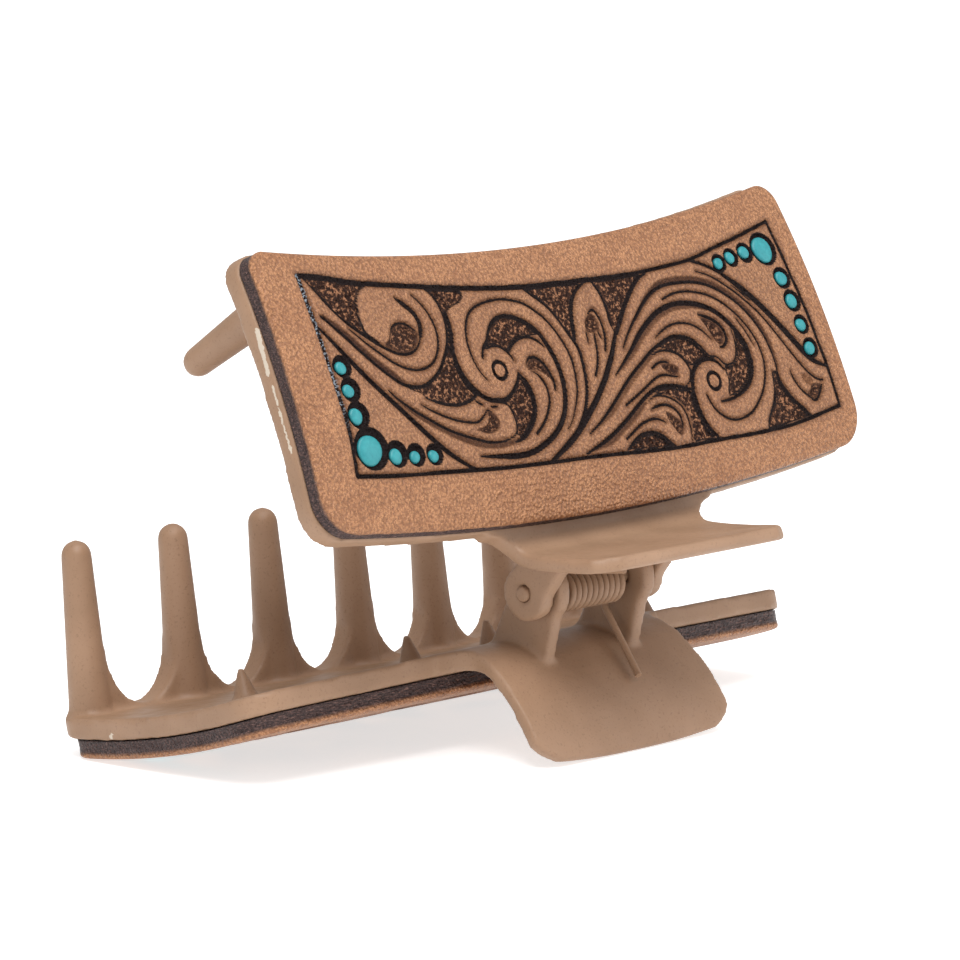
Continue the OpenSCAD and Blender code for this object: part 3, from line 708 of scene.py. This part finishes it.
# %% [markdown]
# ### The slanting leaf on the right
#
# One more leaf runs along the right dotted corner, mirror to the first one on the
# left. Its tip holds a shaded three-cornered eye above a small patch of ground.

# %% Carve the slanting leaf
cut(0.5, (30.2, 42.3), (32, 41.8), (34, 40.8), (35.6, 39.7))
cut(1.05, (35.6, 39.7), (38, 37.6), (40, 35.5), (42, 33.1), (44, 30.4), (45.6, 28.2), (47, 26.3),
    (48.6, 24.9), (50.9, 23.9), ends=(0.6, 0.35))
cut(0.33, (30.4, 40.7), (32.4, 40.0), (34.4, 38.8), (36.4, 37.2), (38.4, 35.3), (40.4, 33.0),
    (42, 30.5), (43.6, 27.8), (45.2, 25.2), (46.8, 23.2), (48.2, 22.2), (49.2, 22.0), ends=(0.6, 1))
cut(0.22, (36.6, 37.9), (38.0, 36.6), (39.4, 35.0))
cut(0.32, (42.8, 24.1), (43.2, 22.6), (44, 21.2), (45, 20.2), (46.2, 19.3))
cut(0.4, (48.7, 21.4), (47.8, 20.2), (46.8, 19.3), (45.8, 19.3))
hollow((45.0, 20.3), (45.8, 21.0), (46.6, 21.7), (48.6, 21.4), (47.7, 20.2), (46.7, 19.5),
       (45.8, 19.6))
shade(1.6, (45.0, 23.2), (45.8, 22.4), (46.8, 21.8), dark=0.45)
ground((35.2, 16.3), (35.6, 17.4), (36.6, 18.6), (37.8, 20.0), (38.6, 21.6), (38.8, 23),
       (39.0, 24.3), (40.1, 24.3), (40.1, 22.8), (40.8, 21.4), (41.8, 20.0), (43.0, 18.8),
       (44.2, 17.6), (44.8, 17.1), (40, 16.6))
cut(0.35, (39.0, 24.4), (38.7, 22.2), (37.8, 20.2), (36.6, 18.7), (35.6, 17.5), (35.1, 16.3))
cut(0.5, (40.2, 24.4), (40.2, 22.8), (41, 21.2), (42, 19.8), (43.4, 18.5), (44.7, 17.2))
rings = [(-15.0, 30.75, 1.25), (26.5, 24.4, 1.25)]
so_far("the whole carving")

# %% [markdown]
# ### The painted dots
#
# Round pits were punched in two corners, dyed dark, and each holds one drop of
# turquoise paint. The table gives each drop's place and radius, and then the pit's
# centre beside the drop and its radius, because the drops don't sit in the middle. Two
# shares, found by comparing renders with the photo, trim all drops and offsets at once.

# %% Chart the dots
drop_share, pit_shift = 0.9, 0.6
# x, y, drop radius, pit offset in x, pit offset in y, pit radius
dots = [
    (-43.6, 22.7, 2.45, 0.3, 0.3, 3.1),
    (-39.2, 21.3, 1.25, 0.3, 0.5, 1.95),
    (-35.7, 20.8, 1.0, 0.2, 0.4, 1.7),
    (-32.2, 20.5, 1.0, 0.1, 0.3, 1.6),
    (-44.3, 27.6, 1.3, 0.5, 0.1, 2.0),
    (-44.2, 31.2, 1.08, 0.4, 0.1, 1.8),
    (-44.2, 34.5, 1.05, 0.2, 0.2, 1.7),
    (46.1, 42.5, 2.2, -0.1, 0.1, 2.65),
    (42.0, 42.5, 1.12, -0.2, -0.2, 1.65),
    (38.7, 42.0, 1.02, -0.1, -0.1, 1.5),
    (35.9, 41.4, 0.98, -0.2, 0.0, 1.45),
    (47.7, 37.8, 1.25, -0.2, 0.0, 1.75),
    (48.1, 34.2, 1.22, -0.2, 0.0, 1.75),
    (48.3, 30.5, 1.08, -0.2, 0.0, 1.55),
    (48.6, 26.9, 1.12, -0.1, 0.0, 1.6),
]
print("dots:", len(dots))

# %% [markdown]
# ## The carving, part 2: from lines to relief
#
# The panel's face is a fine net of points. For each point the script measures how far
# it lies from every cut and inside which ground or hollow it falls, and turns that
# into a depth and an amount of dye. The net is finest where the carving is, so that
# the relief is real geometry and the dye's edges stay crisp.

# %% Lay out the net
fine = 0.225
edge_steps = [0, 0.06, 0.15, 0.28, 0.45, 0.65, 0.9, 1.2, 1.55, 1.95, 2.4, 2.9, 3.45, 4.15]


def net_line(length, first, last):
    """Places along a side: close at both edges for the round lip, even in between."""
    start = [s for s in edge_steps if s < first]
    end = [length - s for s in edge_steps[::-1] if length - s > last]
    inner = np.linspace(first, last, int(round((last - first) / fine)) + 1)
    return np.array(start + list(inner) + end)


rows = net_line(panel_width, 4.9, 36.6)
columns = net_line(2 * panel_half, 2.9, 2 * panel_half - 2.9) - panel_half
share, reach = np.meshgrid(columns / panel_half, rows)
face_x = share * half_length(reach)
face_y = hinge_edge(face_x) + (teeth_edge(face_x) - hinge_edge(face_x)) * reach / panel_width
from_edge = np.minimum(np.minimum(reach, panel_width - reach), half_length(reach) - abs(face_x))
print("net:", face_x.shape, "points, finest step", fine, "mm")

# %% [markdown]
# ### Distances
#
# Every mark is shaped by distance: how far a point lies from a curve, how far along it,
# and whether it is inside a closed one. A smooth step turns that into a soft edge. A box
# round the curve picks the points worth measuring, which keeps the work short.


# %% Measure distances to the carving
def rise(value, low, high):
    """A smooth step from 0 at low to 1 at high."""
    t = np.clip((value - low) / (high - low), 0, 1)
    return t * t * (3 - 2 * t)


def fall(value, full, none):
    """The same step downwards: 1 up to full, and 0 from none on."""
    return rise(-value, -none, -full)


def near(points, margin):
    """Which of the net's points lie in the points' box, grown by a margin in mm."""
    low, high = points.min(0) - margin, points.max(0) + margin
    return (face_x > low[0]) & (face_x < high[0]) & (face_y > low[1]) & (face_y < high[1])


def to_curve(px, py, curve):
    """Distance to the curve, and how far along it the nearest point is, from 0 to 1."""
    a, b = curve[:-1], curve[1:]
    along = b - a
    best, where = np.full(len(px), 1e9), np.zeros(len(px))
    for i in range(len(a)):
        t = (px - a[i, 0]) * along[i, 0] + (py - a[i, 1]) * along[i, 1]
        t = np.clip(t / (along[i] @ along[i] + 1e-12), 0, 1)
        d = (px - a[i, 0] - t * along[i, 0]) ** 2 + (py - a[i, 1] - t * along[i, 1]) ** 2
        closer = d < best
        best[closer] = d[closer]
        where[closer] = (i + t[closer]) / len(a)
    return np.sqrt(best), where


def inside(px, py, curve):
    """Whether each point is inside a closed curve, by counting the lines to its right."""
    x, y = curve[:, 0], curve[:, 1]
    found = np.zeros(len(px), bool)
    for x0, y0, x1, y1 in zip(x, y, np.roll(x, -1), np.roll(y, -1)):
        crosses = (y0 > py) != (y1 > py)
        at = x0 + (py - y0) * (x1 - x0) / (y1 - y0 if y1 != y0 else 1e-9)
        found ^= crosses & (px < at)
    return found


def way_in(px, py, curve):
    """How far inside a closed curve each point lies, negative outside it."""
    d, _ = to_curve(px, py, np.vstack([curve, curve[:1]]))
    return np.where(inside(px, py, curve), d, -d)


print("net points near the first cut:", near(cuts[0][2], 3).sum())

# %% [markdown]
# ### Cuts and shades
#
# Every mark leaves its depth in mm, its black dye, its brown rubbing and its matting in
# four arrays over the net. Where two marks meet, the deeper or darker one holds. A cut
# is a narrow V full of dye, with a soft shoulder. A shade is a shallow brown bevel.

# %% Press the cuts and shades
depth, dye, brown, mat = (np.zeros(face_x.shape) for _ in range(4))
cut_depth, shoulder_depth, shade_depth = 0.5, 0.13, 0.3
dye_edge = 0.13


def taper(where, ends):
    """Share of a stroke's full width along it: thin ends and a full middle."""
    grow = 0.18
    return np.minimum(1, np.minimum(ends[0] + (1 - ends[0]) * where / grow,
                                    ends[1] + (1 - ends[1]) * (1 - where) / grow))


def press(marks, at, value):
    marks[at] = np.maximum(marks[at], value)


for width, ends, curve in cuts:
    at = near(curve, 3)
    d, where = to_curve(face_x[at], face_y[at], curve)
    half_width = width / 2 * taper(where, ends)
    press(dye, at, fall(d, half_width - dye_edge, half_width + dye_edge))
    valley = np.clip(1 - d / (half_width + 0.16), 0, 1) * np.minimum(1, half_width / 0.25)
    press(depth, at, cut_depth * valley + shoulder_depth * np.exp(-((d / 0.75) ** 2)))
    press(brown, at, 0.5 * np.exp(-((np.maximum(d - half_width, 0) / 0.4) ** 2)))

for width, ends, curve, dark in shades:
    at = near(curve, 2)
    d, where = to_curve(face_x[at], face_y[at], curve)
    half_width = width / 2 * taper(where, ends)
    press(brown, at, dark * fall(d, half_width * 0.6, half_width + 0.15))
    press(depth, at, shade_depth * fall(d, half_width * 0.2, half_width + 0.3))
print("deepest cut in mm:", round(depth.max(), 2))

# %% [markdown]
# ### Grounds and hollows
#
# A ground is let down with steep walls and left rough: small flecks stand up in it. Its
# rim holds black dye. Its floor is marked as matted, so that the finish can print the
# stamps' pattern there, with copper on the tops. A hollow is scooped and rubbed brown.

# %% Sink the grounds and hollows
rng = np.random.default_rng(11)
ground_depth, fleck_height, hollow_depth = 0.62, 0.3, 0.6


def blurred(field, times, axis):
    for _ in range(times):
        field = (np.roll(field, 1, axis) + 2 * field + np.roll(field, -1, axis)) / 4
    return field


def flecks():
    """Short raised flecks in two directions, as the stamps leave them."""
    made = []
    for long_axis in (0, 1):
        field = rng.standard_normal(face_x.shape)
        field = blurred(blurred(field, 5, long_axis), 1, 1 - long_axis)
        made.append(field / field.std())
    return np.maximum(*made)


fleck = fleck_height * rise(flecks(), 0.3, 1.9)
for curve in grounds:
    at = near(curve, 1)
    within = way_in(face_x[at], face_y[at], curve)
    press(depth, at, rise(within, -0.1, 0.35) * (ground_depth - fleck[at]))
    press(dye, at, rise(within, -0.05, 0.15) * (0.93 - 0.93 * rise(within, 0.1, 0.55)))
    press(mat, at, rise(within, -0.05, 0.3))

for curve in hollows:
    at = near(curve, 1)
    within = way_in(face_x[at], face_y[at], curve)
    press(depth, at, hollow_depth * rise(within, -0.15, 0.9))
    press(brown, at, 0.9 * rise(within, -0.1, 0.2))
    press(mat, at, 0.85 * rise(within, 0.1, 0.6))
print("matted share:", round((mat > 0.5).mean(), 3))

# %% [markdown]
# ### Rings and pits
#
# The volutes' rings and the pits of the painted dots were struck with round punches.
# Their distances are simple, so each is worked out from its centre.

# %% Punch the rings and pits
ring_depth, pit_depth = 0.55, 0.62


def about(x, y, radius):
    """The net's points round a punch mark, and their distance from its centre."""
    at = near(np.array([(x, y)]), radius + 1)
    return at, np.hypot(face_x[at] - x, face_y[at] - y)


for x, y, radius in rings:
    at, away = about(x, y, radius)
    press(dye, at, fall(abs(away - radius), 0.16, 0.42))
    press(depth, at, ring_depth * np.clip(1 - abs(away - radius) / 0.5, 0, 1))

for x, y, _, dx, dy, pit in dots:
    at, away = about(x + pit_shift * dx, y + pit_shift * dy, pit)
    press(dye, at, fall(away, pit - 0.15, pit + 0.1))
    press(depth, at, pit_depth * fall(away, pit - 0.45, pit + 0.1))
print("dyed share:", round((dye > 0.5).mean(), 3))

# %% [markdown]
# ### The field, the painted glints and the lip
#
# The carved field was rubbed a little browner than the plain margin round it. Small
# glints of light on the steep wall of the left border are painted highlights, kept in an
# array of their own. Last, the face rolls over in a rounded lip at the panel's edge.

# %% Brown the field, mark the painted glints and round the lip
field_corners = np.array([(-45.8, 48.2), (-16, 43.1), (14, 41.7), (49.2, 46.7),
                          (51.3, 17.9), (10, 16.1), (-47.3, 19.5)])
at = near(field_corners, 0)
brown[at] += 0.16 * inside(face_x[at], face_y[at], field_corners)

# Painted highlight: small glints of light on the left border's steep wall, mixed into the colour
# later.
glint = np.zeros(face_x.shape)
left_border = cuts[0][2]
at = near(left_border, 1)
away, _ = to_curve(face_x[at], face_y[at], left_border)
glint[at] = fall(away, 0.2, 0.42) * rise(face_y[at], 24, 32)

lip_width, lip_depth = 0.95, 0.5
lip = np.clip(1 - from_edge / lip_width, 0, 1)
relief = -depth - lip_depth * (1 - np.sqrt(1 - lip**2 * 0.999))
print("deepest mark in mm:", round(depth.max(), 2))

# %% [markdown]
# ### The cut edge
#
# The edge of thick leather shows its fibres. They lie in loose layers, dark purple-brown
# from the edge dye, below a rounded lip of the copper face. The wall is a strip of rows
# round the outline, pushed in and out by a noise that runs along the edge.

# %% Lay the fibres of the edge
wall_rows = 8
fibre_push, wall_waist = 0.075, 0.12


def rim_order(shape):
    """Indices of the net's outer points, once round."""
    index = np.arange(shape[0] * shape[1]).reshape(shape)
    return np.concatenate([index[0, :-1], index[:-1, -1], index[-1, :0:-1], index[:0:-1, 0]])


around = rim_order(face_x.shape)
rim_x, rim_y = face_x.ravel()[around], face_y.ravel()[around]
tangent = np.stack([np.roll(v, -1) - np.roll(v, 1) for v in (rim_x, rim_y)])
tangent /= np.linalg.norm(tangent, axis=0)
outward = np.stack([tangent[1], -tangent[0]])
fibre = rng.standard_normal((wall_rows, len(around)))
fibre = blurred(blurred(fibre, 14, 1), 1, 0)
fibre /= fibre.std()
print("edge:", len(around), "points in each of", wall_rows, "rows")

# %% [markdown]
# ### The plain back
#
# The back is glued to the plate and never seen, so about every tenth point is enough.
# It is a little smaller than the face. A strip of triangles joins its outer points to
# the wall's fine last row, which keeps the panel one closed skin.

# %% Net the back
back_narrow, back_short = 0.97, 0.95
back_middle = panel_start + panel_width / 2 + 2
rows_kept = np.unique(np.linspace(0, face_x.shape[0] - 1, 15).astype(int))
columns_kept = np.unique(np.linspace(0, face_x.shape[1] - 1, 37).astype(int))
kept = np.ix_(rows_kept, columns_kept)
back_x = face_x[kept] * back_narrow
back_y = back_middle + (face_y[kept] - back_middle) * back_short
back_rim = rim_order(back_x.shape)
rim_kept = np.arange(face_x.size).reshape(face_x.shape)[kept].ravel()[back_rim]
coarse_at = np.flatnonzero(np.isin(around, rim_kept))


def squares(index, turned=False):
    """Squares between a net's points, turned round for a net seen from behind."""
    corners = [index[:-1, :-1], index[:-1, 1:], index[1:, 1:], index[1:, :-1]]
    if turned:
        corners = corners[:1] + corners[:0:-1]
    return np.stack(corners, -1).reshape(-1, 4).tolist()


def zipped(ring, loop):
    """Triangles between the fine last row of the wall and the coarse loop behind it."""
    made, n = [], len(ring)
    for k, start in enumerate(coarse_at):
        end = coarse_at[(k + 1) % len(coarse_at)]
        a, b = loop[k], loop[(k + 1) % len(loop)]
        span = (end - start) % n
        half_way = start + span // 2
        for i in range(start, start + span):
            made.append([a if i < half_way else b, ring[(i + 1) % n], ring[i % n]])
        made.append([a, b, ring[half_way % n]])
    return made


print("back:", back_x.shape, "points, joined at", len(coarse_at))

# %% [markdown]
# ### Both panels
#
# Face, wall and back are put together as one mesh, which stores the marks for the
# finish. The lower panel's design wasn't seen, so it is the upper one's, mirrored.


# %% Build the two panels
def finish_mesh(name, points, faces, values, upper):
    """Moves points from the chart to the room, with the faces looking outwards."""
    place = in_room(points[:, 0], points[:, 1], points[:, 2], upper)
    if upper:
        faces = [f[::-1] for f in faces]
    mesh = bpy.data.meshes.new(name)
    mesh.from_pydata(place.tolist(), [], faces)
    mesh.update()
    for key, parts in values.items():
        keep(mesh, key, np.concatenate(parts))
    mesh.shade_smooth()
    obj = bpy.data.objects.new(name, mesh)
    bpy.context.scene.collection.objects.link(obj)
    return obj


def panel_mesh(name, upper, flip_design):
    """The whole panel: carved face, fibrous wall and plain back."""
    sign = -1 if flip_design else 1
    size, round_once = face_x.size, len(around)
    z = bowed(face_y, leather_out + relief[:, ::sign])
    points = [np.stack([face_x.ravel(), face_y.ravel(), z.ravel()], -1)]
    faces = squares(np.arange(size).reshape(face_x.shape))
    marks = {"dye": dye, "brown": brown, "mat": mat, "glint": glint}
    values = {key: [mark[:, ::sign].ravel()] for key, mark in marks.items()}
    values["edge"] = [np.zeros(size)]
    wall_top = leather_out - lip_depth
    before = around
    for k in range(wall_rows):
        t = (k + 1) / wall_rows
        rough = fibre_push * fibre[k] * np.sin(np.pi * min(t * 1.15, 1))
        push = rough - wall_waist * np.sin(np.pi * t)
        wx, wy = rim_x + outward[0] * push, rim_y + outward[1] * push
        points.append(np.stack([wx, wy, bowed(wy, wall_top - (wall_top - leather_in) * t)], -1))
        now = size + k * round_once + np.arange(round_once)
        faces += np.stack([before, now, np.roll(now, -1), np.roll(before, -1)], -1).tolist()
        for key in values:
            share_here = min(1, 0.55 + k) if key == "edge" else 0
            values[key].append(np.full(round_once, float(share_here)))
        before = now
    first = size + wall_rows * round_once
    back_z = bowed(back_y.ravel(), leather_in)
    points.append(np.stack([back_x.ravel(), back_y.ravel(), back_z], -1))
    for key in values:
        values[key].append(np.full(back_x.size, float(key == "edge")))
    faces += squares(first + np.arange(back_x.size).reshape(back_x.shape), turned=True)
    faces += zipped(before, (first + back_rim).tolist())
    return finish_mesh(name, np.vstack(points), faces, values, upper)


upper_panel = panel_mesh("upper_leather_tooled", True, False)
lower_panel = panel_mesh("lower_leather_tooled", False, True)
print("panel faces:", len(upper_panel.data.polygons), len(lower_panel.data.polygons))

# %% [markdown]
# ## The leather's finish
#
# The hide is dyed copper tan with a faint metal sheen and has a pebbled grain of about
# half a millimetre, with painted shade in the crevices between the pebbles. The grain
# is too fine for the net, so it is a bump. The colours lie over each other as the work
# was done: copper, brown rubbing, the stamps' pattern in the grounds, and a black, dull
# dye in the cuts.

# %% Mix the copper hide
hide = Finish("copper_leather", (0.42, 0.2, 0.11), 0.46, Specular_IOR_Level=0.4, Metallic=0.1)
tone = hide.ramp(hide.noise(6, detail=5, rough=0.6),
                 (0.3, (0.38, 0.172, 0.078)), (0.7, (0.48, 0.232, 0.11)))
mottle = hide.ramp(hide.noise(0.24, detail=2, rough=0.6), (0.42, (0.0,)), (0.62, (1.0,)))
tone = hide.mix(hide.maths("MULTIPLY", mottle, 0.45), tone, (0.2, 0.082, 0.038))
# Painted shade: the crevices between the pebbles of the grain are darkened.
crevice_shade = hide.ramp(hide.pebbles(0.44), (0.4, (0.0,)), (0.62, (1.0,)))
tone = hide.mix(hide.maths("MULTIPLY", crevice_shade, 0.55), tone, (0.15, 0.058, 0.026))
print("plain hide:", len(hide.nodes), "nodes")

# %% Rub, stamp and dye the carving
rubbed = hide.attribute("brown")
matted = hide.attribute("mat")
tone = hide.mix(hide.maths("MULTIPLY", rubbed, 0.88), tone, (0.034, 0.0125, 0.0075))
stamped = hide.ramp(hide.noise(0.52, detail=3, rough=0.65),
                    (0.46, (0.02, 0.0075, 0.0045)), (0.54, (0.06, 0.024, 0.013)),
                    (0.62, (0.32, 0.15, 0.078)))
tone = hide.mix(matted, tone, stamped)
fray = hide.maths("MULTIPLY", hide.maths("SUBTRACT", hide.noise(0.22), 0.5), 0.3)
ragged = hide.maths("ADD", hide.attribute("dye"), fray)
dyed = hide.ramp(ragged, (0.3, (0.0,)), (0.62, (1.0,)))
tone = hide.mix(dyed, tone, (0.009, 0.0042, 0.004))
# Painted highlight: pale blue-white specks along the left border's wall stand in for glints of
# light.
painted_glint_specks = hide.ramp(hide.noise(0.3, detail=2), (0.53, (0.0,)), (0.58, (1.0,)))
painted_glint_specks = hide.maths("MULTIPLY", hide.attribute("glint"), painted_glint_specks)
tone = hide.mix(painted_glint_specks, tone, (0.27, 0.3, 0.34))
print("carved hide:", len(hide.nodes), "nodes")

# %% [markdown]
# The cut edge gets its fibres from a noise that is squeezed across the wall, so that it
# draws thin layers. What was rubbed, stamped or dyed has lost its shine. The grain is
# two bumps, a pebbled one and a fine one, with the fibres' bump on top at the edge.

# %% Finish the edge, the shine and the grain
edge = hide.attribute("edge")
layers = hide.noise(0.35, detail=4, rough=0.65, stretch=(0.35, 1, 2.6))
fibres = hide.ramp(layers, (0.3, (0.018, 0.0095, 0.0095)), (0.52, (0.05, 0.027, 0.025)),
                   (0.7, (0.24, 0.13, 0.105)))
hide.colour(hide.mix(edge, tone, fibres))
hide.roughness(hide.ramp(ragged, (0.3, (0.46,)), (0.7, (0.5,))))
dull = hide.maths("MAXIMUM", hide.maths("MAXIMUM", ragged, matted), rubbed)
shine = hide.ramp(dull, (0.3, (0.4,)), (0.6, (0.12,)))
hide.wire(shine, hide.shader.inputs["Specular IOR Level"])
grain = hide.bump(hide.maths("SUBTRACT", 1, hide.pebbles(0.44)), 0.4, 1.0)
grain = hide.bump(hide.noise(0.25, detail=3, rough=0.6), 0.1, 1.0, under=grain)
hide.bump(hide.maths("MULTIPLY", layers, edge), 0.25, 0.9, under=grain)

for panel, node, body in ((upper_panel, "upper_leather", "upper"),
                          (lower_panel, "lower_leather", "lower")):
    dress(panel, hide)
    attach(panel, body)
    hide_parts(node)
print("leather:", len(hide.nodes), "nodes")

# %% [markdown]
# ## The turquoise drops
#
# Each drop of thick paint dried in its pit as a low dome, slightly out of round. The
# domes are small nets of rings, joined to one piece a panel, so that they stay one easy
# object. Each reaches from the floor of its pit to just below the leather's face.

# %% Paint the drops
paint = Finish("turquoise_paint", (0.023, 0.235, 0.26), 0.42, Specular_IOR_Level=0.4)
streak = paint.noise(0.9, detail=4, rough=0.6)
paint.colour(paint.ramp(streak, (0.3, (0.017, 0.2, 0.225)), (0.7, (0.03, 0.27, 0.29))))
paint.bump(paint.noise(0.7, detail=3), 0.05, 0.6)
spokes, steps = 30, 7
foot_depth, dome_height, dome_blunt = 0.66, 0.62, 0.55


def drops(name, upper, flip_design):
    points, faces = [], []
    shape = np.random.default_rng(3)
    for x, y, radius, *_ in dots:
        a = np.linspace(0, 2 * np.pi, spokes, endpoint=False)
        wobble = (1 + 0.035 * np.sin(2 * a + shape.uniform(0, 6))
                  + 0.02 * np.sin(3 * a + shape.uniform(0, 6)))
        first = len(points)
        for k in range(steps):
            t = k / (steps - 1)
            r = drop_share * radius * wobble * np.cos(t * np.pi / 2 * 0.93)
            below = foot_depth - dome_height * np.sin(t * np.pi / 2) ** dome_blunt
            px, py = x + r * np.cos(a), y + r * np.sin(a)
            px = -px if flip_design else px
            points += np.stack([px, py, bowed(py, leather_out - below)], -1).tolist()
            if k:
                ring = first + k * spokes + np.arange(spokes)
                last = ring - spokes
                quads = np.stack([last, np.roll(last, -1), np.roll(ring, -1), ring], -1)
                faces += (quads if flip_design else quads[:, ::-1]).tolist()
        foot = (first + np.arange(spokes)).tolist()
        cap = (first + (steps - 1) * spokes + np.arange(spokes)).tolist()
        faces += [foot[::-1], cap] if flip_design else [foot, cap[::-1]]
    return finish_mesh(name, np.array(points), faces, {}, upper)


for name, upper, body in (("upper_turquoise_dots", True, "upper"),
                          ("lower_turquoise_dots", False, "lower")):
    drop_piece = drops(name, upper, not upper)
    dress(drop_piece, paint)
    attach(drop_piece, body)
    print(name, len(drop_piece.data.polygons), "faces")

# %% [markdown]
# ## The hinge pin
#
# The pin is plain round steel under the same tan coat. Its ends stand a little out of
# the lugs and are rounded by the press that set it. It is turned here as a row of
# rings, from one end to the other.

# %% Turn the pin
pin_low, pin_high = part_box("hinge_pin")
pin_radius = (pin_high.z - pin_low.z) / 2
pin_end = pin_high.x
round_end = 0.45 * mm


def turned(name, profile, spokes=40):
    """A solid of rings: profile rows are x and radius, in metres, along the pin."""
    a = np.linspace(0, 2 * np.pi, spokes, endpoint=False)
    points = [(x, pin_y * mm + r * np.cos(t), pin_z * mm + r * np.sin(t))
              for x, r in profile for t in a]
    faces = []
    for k in range(len(profile) - 1):
        ring, next_ring = k * spokes, (k + 1) * spokes
        for i in range(spokes):
            j = (i + 1) % spokes
            faces.append([ring + i, next_ring + i, next_ring + j, ring + j])
    faces.append(list(range(spokes)))
    faces.append([(len(profile) - 1) * spokes + i for i in range(spokes)][::-1])
    mesh = bpy.data.meshes.new(name)
    mesh.from_pydata(points, [], faces)
    mesh.shade_smooth()
    obj = bpy.data.objects.new(name, mesh)
    bpy.context.scene.collection.objects.link(obj)
    return obj


bend = np.linspace(0.15, 1, 6) * np.pi / 2
right_end = [(pin_end - round_end * (1 - np.cos(t)), pin_radius - round_end * (1 - np.sin(t)))
             for t in bend]
pin_profile = [(-x, r) for x, r in right_end] + [(x, r) for x, r in right_end[::-1]]
pin = turned("hinge_pin_round", pin_profile)
dress(pin, coat)
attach(pin, "lower")
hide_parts("hinge_pin")
print("pin radius in mm:", round(pin_radius / mm, 2))

# %% [markdown]
# ## The spring
#
# The torsion spring is wound from 1 mm wire in ten turns that hang on the pin. One leg
# presses on each lever. A curve with a round bevel is the simplest way to wind wire:
# only its path has to be worked out, and it follows the solid spring's own turns.

# %% Wind the spring
wire = 1.0
coil_radius = 2.4
coil_drop = 0.7
coil_pitch = 1.12
coil_start = -5.55
turns = 10
leg_x = -6.7
steps_per_turn = 24


def wound(name, path, upper):
    curve = bpy.data.curves.new(name, "CURVE")
    curve.dimensions = "3D"
    curve.bevel_depth = wire / 2 * mm
    curve.bevel_resolution = 4
    curve.use_fill_caps = True
    p = np.array(path)
    place = about_pin(p[:, 0], p[:, 1], p[:, 2], upper)
    line = curve.splines.new("POLY")
    line.points.add(len(place) - 1)
    line.points.foreach_set("co", np.hstack([place, np.ones((len(place), 1))]).ravel())
    obj = bpy.data.objects.new(name, curve)
    bpy.context.scene.collection.objects.link(obj)
    mesh = bpy.data.meshes.new_from_object(obj.evaluated_get(bpy.context.evaluated_depsgraph_get()))
    bpy.data.objects.remove(obj)
    mesh.shade_smooth()
    obj = bpy.data.objects.new(name, mesh)
    bpy.context.scene.collection.objects.link(obj)
    return obj


def coil_point(turn):
    a = 2 * np.pi * turn
    x = coil_start + coil_pitch * turn
    return (x, coil_radius * np.cos(a), -coil_drop - coil_radius * np.sin(a))


leg_end_lower = (4.0, -3.23, -14.25)
leg_end_upper = (leg_x, -1.77, -14.28)
coil = [coil_point(i / steps_per_turn) for i in range(turns * steps_per_turn + 1)]
elbow = (coil_start + coil_pitch * turns - 0.1, coil_radius - 0.2, -coil_drop - coil_radius - 1.1)
spring = wound("spring_wire", coil + [elbow, leg_end_lower], False)
spring_leg = wound("spring_leg_wire", [(leg_x, coil_radius, -0.5), leg_end_upper], True)
for piece, node, body in ((spring, "spring", "lower"), (spring_leg, "spring_leg", "upper")):
    dress(piece, coat)
    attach(piece, body)
    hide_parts(node)
    print(piece.name, len(piece.data.polygons), "faces")

# %% [markdown]
